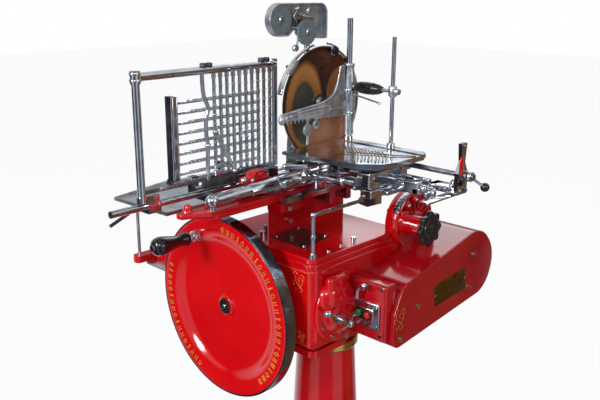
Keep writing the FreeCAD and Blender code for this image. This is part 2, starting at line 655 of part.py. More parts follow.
node("eccentric_rod", carve(join([
    rod("X", d.eccentric_radius + 8, d.eccentric_east, centre_north, d.shaft_high, strap_width),
    box(d.eccentric_east, centre_north - 8, d.shaft_high + d.eccentric_radius, d.eccentric_east + strap_width,
        centre_north + 8, d.shaft_high + 90),
    rod("X", 12, d.eccentric_east, centre_north, d.shaft_high + 92, strap_width)]),
    [rod("X", d.eccentric_radius + d.running_fit, d.eccentric_east - 1, centre_north, d.shaft_high, 20),
     rod("X", 6, d.eccentric_east - 1, centre_north, d.shaft_high + 92, 20)]))


def sprocket(east, north, high, pitch, count, bore, hub):
    """A chain wheel whose teeth end just inside the chain's rollers."""
    tip = as_size(pitch) - 2.2
    thick = 2.2
    disc = rod("X", tip - 2.6, as_size(east) - thick / 2, north, high, thick)
    parts = [disc]
    if hub:
        parts.append(rod("X", hub, as_size(east) - thick / 2 - 7, north, high, thick + 7))
    middle = Vector(0, as_size(north).number, as_size(high).number)
    for index in range(count):
        turn = Rotation(Vector(1, 0, 0), index * FULL_TURN / count)
        shift = turn.multVec(Vector(0, 0, tip.number - 4))
        side = turn.multVec(Vector(0, 0.9, 0))
        tooth = doc.addObject("Part::Box", "Tooth")
        bind(tooth, "Length", thick)
        bind(tooth, "Width", 1.8)
        bind(tooth, "Height", 4)
        tooth.Placement = Placement(Vector(0, 0, 0), turn)
        bind(tooth, "Placement.Base.x", as_size(east) - thick / 2)
        bind(tooth, "Placement.Base.y", as_size(north) + (shift.y - side.y))
        bind(tooth, "Placement.Base.z", as_size(high) + (shift.z - side.z))
        parts.append(tooth)
    return carve(join(parts), [rod("X", bore, as_size(east) - 30, north, high, 60)])


def chain_loop(east, first, last, first_radius, last_radius):
    """Two rows of side plates and the rollers between them, closed round two sprockets."""
    start = Vector(0, first[0].number, first[1].number)
    end = Vector(0, last[0].number, last[1].number)
    span = end - start
    lean = math.asin((first_radius.number - last_radius.number) / span.Length)
    heading = math.atan2(span.z, span.y)
    half = d.chain_half.number
    ahead = Vector(0, math.cos(heading), math.sin(heading))

    def loop(grow):
        big = first_radius.number + grow
        small = last_radius.number + grow
        sides = []
        for side in (1, -1):
            angle = heading + side * (math.pi / 2 - lean)
            way = Vector(0, math.cos(angle), math.sin(angle))
            sides.append((start + way * big, end + way * small))
        return Part.Wire([
            Part.makeLine(sides[0][0], sides[0][1]),
            Part.Arc(sides[0][1], end + ahead * small, sides[1][1]).toShape(),
            Part.makeLine(sides[1][1], sides[1][0]),
            Part.Arc(sides[1][0], start - ahead * big, sides[0][0]).toShape()])

    def ring(grow, left, right):
        face = Part.Face(loop(grow)).cut(Part.Face(loop(-grow))).Faces[0]
        return face.extrude(Vector(right - left, 0, 0)).translated(Vector(left, 0, 0))

    plate = 1.0
    left = as_size(east).number - d.chain_width.number / 2
    right = left + d.chain_width.number
    plates = ring(half, left, left + plate).fuse(ring(half, right - plate, right))
    thing = doc.addObject("Part::Feature", "Chain")
    thing.Shape = plates.fuse(ring(1.6, left + plate, right - plate))
    return thing


node("knife_sprocket", sprocket(d.chain_east, d.cross_north, d.knife_high, d.small_sprocket, 12,
                                neck_radius, 0))
node("cross_sprockets", gather([
    sprocket(d.chain_east, d.cross_north, d.shaft_high, d.big_sprocket, 36, d.cross_radius, 0),
    sprocket(case_sprocket_east, d.cross_north, d.shaft_high, d.case_sprocket, 32, d.cross_radius, 16)]))
motor_shaft = 8.0
node("motor_sprocket", join([
    sprocket(case_sprocket_east, d.motor_north, d.motor_high, d.motor_sprocket, 16, motor_shaft, 13),
    rod("X", motor_shaft, 150, d.motor_north, d.motor_high, case_sprocket_east + 10 - 150)]))
node("drive_chains", gather([
    chain_loop(d.chain_east, (d.cross_north, d.shaft_high), (d.cross_north, d.knife_high),
               d.big_sprocket, d.small_sprocket),
    chain_loop(case_sprocket_east, (d.cross_north, d.shaft_high), (d.motor_north, d.motor_high),
               d.case_sprocket, d.motor_sprocket)]))

# ---- the drive case with its motor and switch ----

case_left = d.base_right
case_outer = [(-10, 694), (-6, 790), (30, 862), (385, 939), (466, 850), (430, 742)]
case_inner = [(-5, 700), (-1, 789), (34, 857), (383, 933), (459, 850), (425, 747)]
case_corners = [12, 8, 40, 60, 50, 50]


def cased(name, points, start, length, shrink):
    """A flat prism on the side of the machine with its corners rounded."""
    prism = cut_out(name, "YZ_Plane", points, start, length)
    doc.recompute()
    chosen = []
    for index, edge in enumerate(prism.Shape.Edges, start=1):
        if along(Vector(1, 0, 0))(edge):
            spot = edge.Vertexes[0].Point
            for (y, z), radius in zip(points, case_corners):
                if math.hypot(spot.y - y, spot.z - z) < 0.5:
                    chosen.append((index, radius - shrink, radius - shrink))
    fillet = doc.addObject("Part::Fillet", "Rounded")
    fillet.Base = prism
    fillet.Edges = chosen
    return fillet


panel_back = 34.0
panel = rounded(box(case_left + 5, d.panel_front, 716, case_left + 122, panel_back, 872), 10,
                along(Vector(0, 1, 0)))
case_body = join([cased("CaseBody", case_outer, case_left, d.case_right - case_left, 0), panel])
case_hollow = cased("CaseHollow", case_inner, case_left + d.case_wall, d.case_right - case_left, 5)
panel_hollow = box(case_left + 14, d.panel_front + 16, 726, case_left + 112, panel_back + 1, 800)
button_low = 784.0
button_easts = (143.0, 171.0)
button_bores = [rod("Y", d.button_radius + d.gap, x, d.panel_front - 1, button_low, 30) for x in button_easts]
case_holes = [rod("X", d.cross_radius + 3, case_left - 1, d.cross_north, d.shaft_high, 20), case_hollow,
              panel_hollow, rod("Y", 5 + d.running_fit, 168, d.panel_front - 1, 864, 10)]
node("drive_case", carve(case_body, case_holes + button_bores))
node("case_cover", cased("CaseCover", case_outer, d.case_right, d.cover_thick, 0))
node("drive_motor", carve(join([
    rod("X", d.motor_radius, case_left + d.case_wall, d.motor_north, d.motor_high, 68),
    taper("X", d.motor_radius, 22, case_left + d.case_wall + 68, d.motor_north, d.motor_high, 6)]),
    [rod("X", motor_shaft + d.running_fit, 140, d.motor_north, d.motor_high, 60)]))

plate_left = 106.0
plate_right = 208.0
switch = rounded(box(plate_left, d.switch_north, 748, plate_right, d.panel_front, 820), 8, along(Vector(0, 1, 0)))
node("switch_plate", carve(switch, [
    box(button_easts[0], d.switch_north - 1, button_low - 14, button_easts[1], d.panel_front + 1, button_low + 14)]
    + [rod("Y", 14, x, d.switch_north - 1, button_low, 10) for x in button_easts]))
for word, x in zip(("start_button", "stop_button"), button_easts):
    node(word, join([rod("Y", d.button_radius, x, d.switch_north - 6, button_low, 20),
                     taper("Y", d.button_radius - 2, d.button_radius, x, d.switch_north - 7.5, button_low, 1.5)]))

boss_right = 134.0
pivot_bore = 5 + d.running_fit
dome = join([
    turned("BearingDome", "X", d.base_right, d.dome_north, d.dome_high, [
        (0, 31), (40, 27), (62, 16), (72, 8), (94, 8), (94, 0), (64, 0), (57, 11), (37, 21.5), (0, 26)]),
    rod("X", 13, d.base_right + 8, d.wing_north, d.wing_high, boss_right - d.base_right - 8)])
node("bearing_dome", carve(dome, [
    box(d.base_right - 1, d.switch_north - 1, 650, d.base_right + 60, 100, 960),
    box(d.base_right - 1, d.base_front - 20, 650, d.base_right + 60, d.base_front + 6, 960),
    rod("X", pivot_bore, d.base_right + 14, d.wing_north, d.wing_high, 60)]))

wing_back = boss_right + d.gap
node("wing_handle", join([
    rod("X", 5, d.base_right + 20, d.wing_north, d.wing_high, 42),
    rod("X", 13, wing_back, d.wing_north, d.wing_high, 16),
    strut(6, (wing_back + 9, d.wing_north - 46, d.wing_high + 30), (wing_back + 9, d.wing_north + 46, d.wing_high - 30)),
    ball(10, wing_back + 9, d.wing_north - 42, d.wing_high + 27),
    ball(10, wing_back + 9, d.wing_north + 42, d.wing_high - 27)]))

# ---- the clutch lever beside the switch ----

lever_north = d.switch_north - 17
lever_path = [(168, 866), (142, 871), (124, 862)]
lever = [strut(4, (first[0], lever_north, first[1]), (last[0], lever_north, last[1]))
         for first, last in zip(lever_path, lever_path[1:])]
lever += [ball(4, x, lever_north, z) for x, z in lever_path[1:]]
node("clutch_lever", join(lever + [
    rod("Y", 8, lever_path[0][0], lever_north - 5, lever_path[0][1] - 2, 10),
    rod("Y", 5, lever_path[0][0], lever_north, lever_path[0][1] - 2, d.panel_front + 8 - lever_north)]))

# ---- the slice thickness gauge ----

case_block = cased("CaseBlock", case_outer, case_left, d.case_right - case_left, 0)
gauge = join([
    rod("X", 86, 66, 244, 958, 54),
    box(56, 176, d.base_high, 118, 206, 1000),
    rod("X", 26, 110, d.knob_north, d.knob_high, d.knob_east - 8 - 110 - d.gap)]
    + [strut(5, (120, 244, 958), (120, 244 + 80 * math.cos(a), 958 + 80 * math.sin(a)))
       for a in (0.5, 1.2, 1.9, 2.6)])
node("gauge_housing", carve(gauge, [
    case_block, box(40, 100, 700, d.base_right, d.base_back, d.base_high),
    box(40, 100, 700, 200, 400, 890),
    rod("X", 8 + d.running_fit, 100, d.knob_north, d.knob_high, 100)]))
knob = carve(join([
    rod("X", d.knob_radius, d.knob_east, d.knob_north, d.knob_high, d.knob_thick),
    rod("X", 34, d.knob_east + d.knob_thick - 4, d.knob_north, d.knob_high, 8)]),
    [rod("X", 13, d.knob_east - 1, d.knob_north + (d.knob_radius.number + 6) * math.cos(k * math.pi / 4),
         d.knob_high + (d.knob_radius.number + 6) * math.sin(k * math.pi / 4), 60) for k in range(8)])
node("thickness_knob", join([
    knob, rod("X", 20, d.knob_east - 8, d.knob_north, d.knob_high, 9),
    rod("X", 8, 112, d.knob_north, d.knob_high, d.knob_east - 111)]))

# ---- the stop rod ----

flag = cut_out("StopFlag", "YZ_Plane", [
    (34, 1046), (66, 1031), (126, 1028), (126, 1088), (75, 1081), (34, 1060)], d.stop_east - 2, 4)
node("stop_rod", join([
    rod("Z", d.stop_radius, d.stop_east, d.stop_north, d.base_high - 34, d.stop_high - d.base_high + 34),
    rod("Z", 9, d.stop_east, d.stop_north, d.base_high + d.gap, 12),
    rod("Z", 7, d.stop_east, d.stop_north, d.base_high + 52, 8),
    ball(7.5, d.stop_east, d.stop_north, d.stop_high),
    rod("Y", d.stop_radius, d.stop_east, d.stop_north, d.stop_high, d.stop_reach),
    flag]))

# ---- the carriage ----

frame_high = d.frame_low + d.frame_thick
frame_left = -72.0
sleeve_radius = d.rod_radius + d.sleeve_wall
rod_bore = d.rod_radius + d.running_fit
shoe_low = 1066.0
lever_pivot = (-46.0, -40.0)
frame = join([
    rod("Y", sleeve_radius, d.rod_east, d.sleeve_front, d.rod_high, d.sleeve_back - d.sleeve_front),
    rod("Y", sleeve_radius + 2, d.rod_east, d.sleeve_front, d.rod_high, 7),
    box(d.rod_east + 8, -88, d.rod_high - 4, frame_left + 2, 58, frame_high - 4),
    box(frame_left, -88, d.frame_low, frame_left + 34, 150, frame_high),
    box(frame_left, -30, d.frame_low, 165, -8, frame_high),
    box(frame_left, 96, d.frame_low, 256, 120, frame_high),
    box(140, -30, d.frame_low, 165, 120, frame_high),
    box(130, -32, d.frame_low, 170, 34, frame_high + 22),
    rod("X", 14, 98, -22, frame_high + 9, 34),
    box(frame_left + 34, 36, d.frame_low, 256, 60, frame_high + 14),
    box(frame_left + 34, 84, d.frame_low, 256, 97, frame_high + 14),
    box(240, 36, d.frame_low, 262, 145, frame_high),
    box(240, 104, d.frame_low, d.frame_right, 145, frame_high),
    box(frame_left, 113, frame_high - 1, frame_left + 18, 141, d.screw_high + 12),
    box(-60, 0, shoe_low + d.gap, -42, 40, frame_high - 2),
    rod("Z", 9, lever_pivot[0], lever_pivot[1], frame_high - 2, 20)])
node("carriage_frame", carve(frame, [
    rod("Y", rod_bore, d.rod_east, d.sleeve_front - 10, d.rod_high, 300),
    rod("X", d.screw_radius + d.running_fit, frame_left - 10, d.screw_north, d.screw_high, 60),
    rod("Z", pivot_bore, lever_pivot[0], lever_pivot[1], frame_high - 20, 60)]))
arm_high = d.tower_high - 1
node("carriage_track", join(
    [box(-64, -112, shoe_low - 14, -38, 140, shoe_low)]
    + [box(d.tower_right, front, arm_high - 18, -38, front + 20, arm_high) for front in (50, 118)]
    + [box(-64, front, arm_high - 18, -38, front + 20, shoe_low - 6) for front in (50, 118)]))

table_low = d.table_high - d.table_thick
nut_block = box(120, 112, 1136, 160, 142, table_low + 1)
table_plan = [(d.table_left, d.table_front), (150, d.table_front + 30), (194, d.table_front + 68),
              (d.table_right, 24), (d.table_right, d.table_back - 14), (d.table_right - 14, d.table_back),
              (d.table_left, d.table_back)]
skirt_plan = [(d.table_left + 6, d.table_front + 8), (147, d.table_front + 38), (187, d.table_front + 74),
              (d.table_right - 8, 30), (d.table_right - 8, d.table_back - 8), (d.table_left + 6, d.table_back - 8)]
pocket_plan = [(d.table_left + 12, d.table_front + 15), (144, d.table_front + 44), (181, d.table_front + 78),
               (d.table_right - 14, 34), (d.table_right - 14, d.table_back - 14),
               (d.table_left + 12, d.table_back - 14)]
# The clamp's posts stand on a raised ledge at the back, so that the top itself is free.
ledge_plan = [(d.table_left + 6, 124), (d.table_right, 124), (d.table_right, d.table_back - 14),
              (d.table_right - 14, d.table_back), (d.table_left + 6, d.table_back)]
skirt = carve(cut_out("TableSkirt", "XY_Plane", skirt_plan, table_low - 8, 8.5),
              [cut_out("TablePocket", "XY_Plane", pocket_plan, table_low - 9, 9)])
node("meat_table", carve(join([
    cut_out("TableTop", "XY_Plane", table_plan, table_low, d.table_thick), skirt,
    cut_out("TableLedge", "XY_Plane", ledge_plan, d.table_high - 1, 1 + d.ledge_thick),
    box(20, 60 + d.gap, frame_high + d.gap, 190, 84 - d.gap, table_low + 1), nut_block]),
    [rod("X", d.screw_radius + 0.08, 100, d.screw_north, d.screw_high, 80)]))

plate_points = [(100, 1104), (142, 1104), (141, 1158), (128, 1184), (133, 1230), (109, 1230), (113, 1188),
                (99, 1158)]
node("feed_end_plate", carve(join([
    cut_out("FeedEndPlate", "YZ_Plane", plate_points, d.frame_right, 10),
    rod("X", 13, d.frame_right + 9, d.screw_north, d.screw_high, 4)]),
    [rod("X", d.screw_radius + d.running_fit, d.frame_right - 5, d.screw_north, d.screw_high, 60)]))
crank_hub = d.frame_right + 13 + d.gap
node("feed_screw", join([
    rod("X", d.screw_radius, frame_left - 4, d.screw_north, d.screw_high, d.screw_end - frame_left + 4),
    rod("X", 12, frame_left + 18 + d.gap, d.screw_north, d.screw_high, 6),
    rod("X", 13, crank_hub, d.screw_north, d.screw_high, 8)]))
node("feed_crank", join([
    carve(rod("X", 12, crank_hub + 8, d.screw_north, d.screw_high, 12),
          [rod("X", d.screw_radius, crank_hub, d.screw_north, d.screw_high, d.screw_end - crank_hub)]),
    strut(4, (crank_hub + 16, d.screw_north + 9, d.screw_high - 7), (crank_hub + 28, d.screw_north + 39, d.screw_high - 30)),
    ball(11, crank_hub + 34, d.screw_north + 39, d.screw_high - 30)]))

lever_low = frame_high + 18 + d.gap
table_lever = cut_out("TableLever", "XY_Plane", [
    (-58, -112), (-50, -114), (-12, -60), (-10, 6), (-34, 26), (-58, -20)], lever_low, 7)
node("table_lever", join([
    table_lever, rod("Z", 5, lever_pivot[0], lever_pivot[1], frame_high - 15, lever_low - frame_high + 16),
    strut(4, (-22, 8, lever_low + 3), (4, 12, lever_low - 4)), ball(10, 8, 12, lever_low - 5)]))

# ---- the meat clamp on the table ----

post_low = d.table_high + d.ledge_thick
node("clamp_posts", gather([join([
    rod("Z", radius, east, d.post_north, post_low, high - post_low),
    rod("Z", as_size(radius) + 5, east, d.post_north, post_low, 9)])
    for radius, east, high in ((d.post_radius, d.post_east, d.post_high),
                               (d.guide_radius, d.guide_east, d.guide_high))]))
bar_left = d.post_east - 6
node("clamp_sleeve", carve(join([
    rod("Z", d.sleeve_radius, d.post_east, d.post_north, d.sleeve_low, d.sleeve_high - d.sleeve_low),
    rod("Z", d.sleeve_radius + 2, d.post_east, d.post_north, d.sleeve_high - 12, 12),
    box(bar_left, d.post_north - 22, d.sleeve_low + 2, bar_left + 12, d.post_north, d.sleeve_low + 40),
    rod("X", 5, d.post_east, d.post_north, d.grip_bar_high, d.guide_east - d.post_east + 20),
    rod("Z", 11, d.guide_east, d.post_north, d.grip_bar_high - 14, 28),
    rod("X", 9, d.guide_east + 8, d.post_north, d.grip_bar_high, 14)]),
    [rod("Z", d.post_radius + d.running_fit, d.post_east, d.post_north, d.sleeve_low - 5, 300),
     rod("Z", d.guide_radius + d.running_fit, d.guide_east, d.post_north, d.grip_bar_high - 40, 80)]))

bar_back = d.post_north - 22
bar = box(bar_left, d.clamp_front, d.clamp_high - 6, bar_left + 12, bar_back, d.clamp_high + 8)
teeth = [taper("Z", 1.2, 3.2, bar_left + 6, d.clamp_front + 12 + index * 20, d.clamp_high - 16, 11)
         for index in range(11)]
clamp_web = cut_out("ClampWeb", "YZ_Plane", [
    (d.clamp_front, d.clamp_high + 4), (bar_back, d.clamp_high + 4), (bar_back, d.clamp_high + 118),
    (98, d.clamp_high + 84), (70, d.clamp_high + 48), (30, d.clamp_high + 26), (-30, d.clamp_high + 13)],
    bar_left + 4, 4)
node("clamp_bar", join([
    bar, clamp_web, rod("Z", 7, bar_left + 6, d.clamp_front + 6, d.clamp_high + 4, 12),
    rod("Z", 3, bar_left + 6, -20, 1190, d.clamp_high - 1190),
    rod("X", 14, bar_left + 4, -20, 1229, 5),
    rod("Y", 8, bar_left + 6, -27, d.clamp_high + 8, 14)] + teeth))
handle_bore = 5 + d.running_fit
node("clamp_handle", turned("ClampHandle", "X", -32, d.post_north, d.grip_bar_high, [
    (handle_bore, 0), (7, 0), (12.5, 8), (16, 24), (17, 44), (16, 64), (12.5, 82), (8, 91), (handle_bore, 91)]))

# ---- the needle frame that carries the slices ----

slider_low = d.rail_high - 16
slider_high = d.rail_high + 12
rail_bore = d.rail_radius + d.running_fit
needle_left = d.needle_east - 6
sliders = [box(d.rail_a_east - 16, -430, slider_low, d.rail_a_east + 16, -392, slider_high),
           box(d.rail_b_east - 14, -96, slider_low, d.rail_a_east + 16, -60, slider_high)]
link_low = d.rail_high + d.rail_radius + 1.5
needle_base = [
    box(needle_left, -450, slider_high - 2, needle_left + 12, -392, slider_high + 14),
    box(needle_left, -157, link_low, -173, -14, d.needle_low),
    box(-190, -96, link_low + 2, d.rod_east - 18, -85, link_low + 14),
    box(needle_left, d.needle_post_north, d.needle_low - 4, needle_left + 12, d.needle_back + 4, d.needle_low + 6),
    rod("Z", 10, d.needle_east, d.needle_post_north, slider_high, d.needle_bar_high - slider_high + 8),
    rod("Z", 12.5, d.needle_east, d.needle_post_north, d.needle_bar_high - 16, 30),
    rod("Y", 10, d.needle_east, d.needle_post_north, d.needle_bar_high, d.needle_back - d.needle_post_north),
    rod("Z", 8, d.needle_east, d.needle_back, d.needle_low, d.needle_bar_high - d.needle_low + 12)]
node("needle_frame", carve(join(sliders + needle_base), [
    rod("Y", rail_bore, east, -560, d.rail_high, 700) for east in (d.rail_a_east, d.rail_b_east)]
    + [rod("Y", sleeve_radius + 2, d.rod_east, -200, d.rod_high, 300)]))
bar_first = -208.0
bar_step = 21.5
node("needle_bars", gather([
    rod("Z", 3.5, d.needle_east, bar_first + index * bar_step, d.needle_low + 6,
        d.needle_bar_high - 10 - d.needle_low - 6) for index in range(10)]))

fork_bore = 5 + d.running_fit
fork_plate_right = d.fork_east + 6
fork_solid = join([
    rod("Y", 9, d.fork_pivot_east, d.fork_front, d.fork_pivot_high, bracket_front - d.gap - d.fork_front),
    rod("Y", 9, d.fork_pivot_east, bracket_front + 22 + d.gap, d.fork_pivot_high, 100),
    box(d.fork_pivot_east, d.fork_front, d.fork_pivot_high + 12, fork_plate_right, d.fork_front + 14, d.fork_high),
    box(d.fork_pivot_east - 5, d.fork_front, d.fork_pivot_high, d.fork_pivot_east + 8, d.fork_front + 14,
        d.fork_pivot_high + 14),
    box(d.fork_pivot_east - 5, -150, d.fork_pivot_high, d.fork_pivot_east + 8, -138, d.fork_pivot_high + 34),
    box(d.fork_pivot_east, -150, d.fork_pivot_high + 22, fork_plate_right, -138, d.fork_pivot_high + 34)]
    + [rod("Y", 3, d.fork_east, d.fork_front + 10, d.fork_pivot_high + 28 + index * 26,
           d.fork_back - d.fork_front - 10) for index in range(8)])
node("stacker_fork", carve(fork_solid, [
    rod("Y", fork_bore, d.fork_pivot_east, d.fork_front - 5, d.fork_pivot_high, 400)]))

# ---- the trays ----

tray_right = -448.0
post_spots = [(-606.0, -188.0), (-606.0, 40.0)]
arm_low = 766.0
upper_tray = carve(
    cut_out("UpperTray", "XY_Plane", [
        (-698, -208), (-576, -201), (tray_right, -194), (tray_right, 66), (-756, 66)], d.tray_high - 3, 11),
    [cut_out("TrayHollow", "XY_Plane", [
        (-695, -205), (-576, -198), (tray_right - 3, -191), (tray_right - 3, 63), (-752, 63)], d.tray_high, 20)])
lower_tray = rounded(box(-592, -180, arm_low - 4, -312, 62, arm_low), 12, along(UP))
tray_rods = [rod("Z", 5, x, y, arm_low + 22, d.tray_high - 3 - arm_low - 22) for x, y in post_spots]
node("slice_trays", gather([join([upper_tray] + tray_rods), lower_tray]))
node("tray_arm", join([
    box(-600, -136, arm_low, d.base_left, -116, arm_low + 20),
    box(-600, 10, arm_low, d.base_left, 30, arm_low + 20),
    rounded(box(-622, -206, arm_low, -590, -114, arm_low + 22), 12, along(UP)),
    rounded(box(-622, 4, arm_low, -590, 58, arm_low + 22), 12, along(UP))]))

# ---- the sharpener ----

head_bore = 8 + d.running_fit
stone_one = (-77.0, 1508.0)
stone_two = (-3.0, 1476.0)
hood_left = d.knife_edge_east - 28
hood_deep = 22
hood_outer = join([
    rod("X", 41, hood_left, stone_one[0], stone_one[1], hood_deep),
    rounded(box(hood_left, stone_one[0], 1458, hood_left + hood_deep, 87, 1547), 12, along(Vector(1, 0, 0)))])
hood_inner = join([
    rod("X", 38.5, hood_left + 3, stone_one[0], stone_one[1], 50),
    rounded(box(hood_left + 3, stone_one[0], 1461, hood_left + 60, 84, 1544), 9, along(Vector(1, 0, 0)))])
hood = carve(hood_outer, [hood_inner, box(hood_left - 1, -130, 1440, hood_left + 40, 36, 1480)])
stone_one_back = hood_left + 7
stone_two_back = d.knife_edge_east + 1.6
spindle = 5.0
head = join([
    hood,
    rod("X", spindle, hood_left + 1, stone_one[0], stone_one[1], 20),
    rod("X", 9, hood_left + 1, stone_one[0], stone_one[1], 6 - d.gap),
    rod("X", 9, stone_one_back + 10 + d.gap, stone_one[0], stone_one[1], 3),
    rod("X", spindle, hood_left + 1, stone_two[0], stone_two[1], 39.5),
    rod("X", 11, hood_left + 1, stone_two[0], stone_two[1], stone_two_back - hood_left - 1 - d.gap),
    box(hood_left, stone_two[0] - 11, 1474, hood_left + 6, stone_two[0] + 11, 1500),
    rod("X", 8, stone_two_back + 8 + d.gap, stone_two[0], stone_two[1], 3.5),
    strut(2.5, (stone_two_back + 11.2, stone_two[0], stone_two[1]), (stone_two_back + 11.2, -19, 1428)),
    ball(7, stone_two_back + 11.2, -19, 1424),
    box(d.head_post_east - 6, 50, 1474, hood_left + 2, 80, 1486),
    rod("Z", 15, d.head_post_east, d.cross_north, 1440, 60)])
node("sharpener_head", carve(head, [rod("Z", head_bore, d.head_post_east, d.cross_north, 1400, 140)]))
for word, spot, radius, back, thick in (("grinding_stone", stone_one, d.stone_one_radius, stone_one_back, 10),
                                        ("honing_stone", stone_two, d.stone_two_radius, stone_two_back, 8)):
    node(word, carve(rod("X", radius, back, spot[0], spot[1], thick), [
        rod("X", spindle + d.running_fit, back - 5, spot[0], spot[1], 40)]))

# ---- screws, studs and oil cups ----


def button_head(axis, radius, x, y, z, tall):
    return rod(axis, radius, x, y, z, tall)


cover_face = d.case_right + d.cover_thick
screws = [button_head("X", 7, cover_face, y, z, 4) for y, z in ((91, 791), (353, 865), (340, 770), (20, 720))]
screws += [rod("Y", 5, x, d.panel_front - 3, z, 3) for x, z in ((158, 731), (209, 735), (212, 862), (118, 732))]
screws += [rod("X", 5, d.base_right + 8, d.dome_north + 82 * math.cos(a), d.dome_high + 82 * math.sin(a), 5)
           for a in (1.9, 2.5, 3.6, 4.3, 4.8)]
screws += [rod("X", 8, d.tower_right, -25, 971, 10), rod("X", 8, d.tower_right + 42, -70, d.tower_high - 13, 8),
           rod("Z", 8, -134, -112, d.base_high, 16), rod("Z", 6, -152, -84, d.base_high, 22),
           rod("Z", 5, 70, -73, d.base_high, 4), rod("Z", 5, 62, -15, d.base_high, 4)]
screws += [rod("Z", 4, x, y, d.base_high + 3, 3) for x, y in ((-103, -90), (6, -96), (-13, 6), (-111, 2))]
oil_cups = [join([rod("Z", 5, x, y, z, 16), rod("Z", 6.5, x, y, z + 12, 8)])
            for x, y, z in ((80, 13, d.base_high), (-140, 180, d.beam_high))]
node("housing_screws", gather(screws + oil_cups))

doc.recompute()
NO_FAULT = ("Invalid", "Error")
faults = [(o.Name, o.Label, o.State) for o in doc.Objects if any(word in o.State for word in NO_FAULT)]
if faults:
    raise RuntimeError("Objects in error: %s" % faults[:6])
os.makedirs("parts", exist_ok=True)
for thing in NODES:
    shape = thing.Shape
    if shape.isNull() or not shape.isValid():
        raise RuntimeError("Bad shape: " + thing.Label)
    shape.exportStep("parts/%s.step" % thing.Label)
print(len(NODES), "nodes")
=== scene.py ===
"""Looks of a flywheel meat slicer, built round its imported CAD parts."""

import json
import logging
import math
from dataclasses import dataclass, field
from enum import Enum
from typing import Iterable, Optional, Sequence, Union

import bpy
from mathutils import Matrix, Vector

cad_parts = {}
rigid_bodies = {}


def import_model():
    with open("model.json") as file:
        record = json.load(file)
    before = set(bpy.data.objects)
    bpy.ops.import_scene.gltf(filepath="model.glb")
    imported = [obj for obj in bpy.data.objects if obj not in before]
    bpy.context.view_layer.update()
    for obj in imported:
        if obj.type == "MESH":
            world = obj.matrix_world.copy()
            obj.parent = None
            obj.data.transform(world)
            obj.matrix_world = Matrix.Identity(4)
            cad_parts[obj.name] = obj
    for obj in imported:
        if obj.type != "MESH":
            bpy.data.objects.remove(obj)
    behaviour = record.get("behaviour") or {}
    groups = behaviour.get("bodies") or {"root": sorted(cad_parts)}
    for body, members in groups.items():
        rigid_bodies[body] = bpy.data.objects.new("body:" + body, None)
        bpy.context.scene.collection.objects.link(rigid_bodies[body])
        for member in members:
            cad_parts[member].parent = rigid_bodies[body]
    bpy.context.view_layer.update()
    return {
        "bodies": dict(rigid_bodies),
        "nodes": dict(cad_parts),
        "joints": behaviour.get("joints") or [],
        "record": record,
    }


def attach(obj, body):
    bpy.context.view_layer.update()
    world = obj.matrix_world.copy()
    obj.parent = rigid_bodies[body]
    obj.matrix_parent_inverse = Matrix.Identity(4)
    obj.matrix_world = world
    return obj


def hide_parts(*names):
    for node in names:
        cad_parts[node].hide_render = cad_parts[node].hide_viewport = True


MM = 0.001
DOUBLES_M = 0.00002
SMOOTH_DEGREES = 40.0
BEVEL_DEGREES = 35.0
LOG = logging.getLogger("slicer")
Point = tuple[float, float, float]
Pair = tuple[float, float]
Piece = bpy.types.Object
Tree = bpy.types.NodeTree
Socket = bpy.types.NodeSocket


def linear(hex_colour: str) -> tuple[float, float, float, float]:
    """Turn an sRGB hex colour into the linear colour that a shader takes.

    Args:
        hex_colour: A colour such as "#B3181C".

    Returns:
        Red, green, blue and an alpha of one.
    """
    digits = hex_colour.lstrip("#")
    parts = [int(digits[i:i + 2], 16) / 255 for i in (0, 2, 4)]
    straight = [p / 12.92 if p <= 0.04045 else ((p + 0.055) / 1.055) ** 2.4 for p in parts]
    return (straight[0], straight[1], straight[2], 1.0)


def add_node(tree: Tree, kind: str, inputs: Optional[dict] = None, **settings: str) -> bpy.types.Node:
    """Add a shader node, set it up and link it.

    Args:
        tree: The node tree that gets the node.
        kind: Blender's type name of the node, without the ShaderNode in front.
        inputs: Socket name or number to a value, or to an output socket to link from.
        settings: Attributes to set on the node.

    Returns:
        The new node.
    """
    made = tree.nodes.new("ShaderNode" + kind)
    for name, value in settings.items():
        setattr(made, name, value)
    for socket, value in (inputs or {}).items():
        if isinstance(value, Socket):
            tree.links.new(value, made.inputs[socket])
        else:
            made.inputs[socket].default_value = value
    return made


def empty_tree(owner: bpy.types.ID) -> Tree:
    """Give a material or a world an empty node tree.

    Args:
        owner: The material or the world.

    Returns:
        Its node tree.
    """
    owner.use_nodes = True
    owner.node_tree.nodes.clear()
    return owner.node_tree


def ramp(tree: Tree, value: Socket, stops: Sequence[tuple[float, tuple]]) -> Socket:
    """Colour a value by a ramp.

    Args:
        tree: The node tree.
        value: The value's socket.
        stops: Position and colour of each stop, from left to right.

    Returns:
        The colour socket.
    """
    made = add_node(tree, "ValToRGB", {"Fac": value})
    elements = made.color_ramp.elements
    while len(elements) < len(stops):
        elements.new(1.0)
    for element, (position, colour) in zip(elements, stops):
        element.position = position
        element.color = colour
    return made.outputs["Color"]


# ---------------------------------------------------------------- finishes


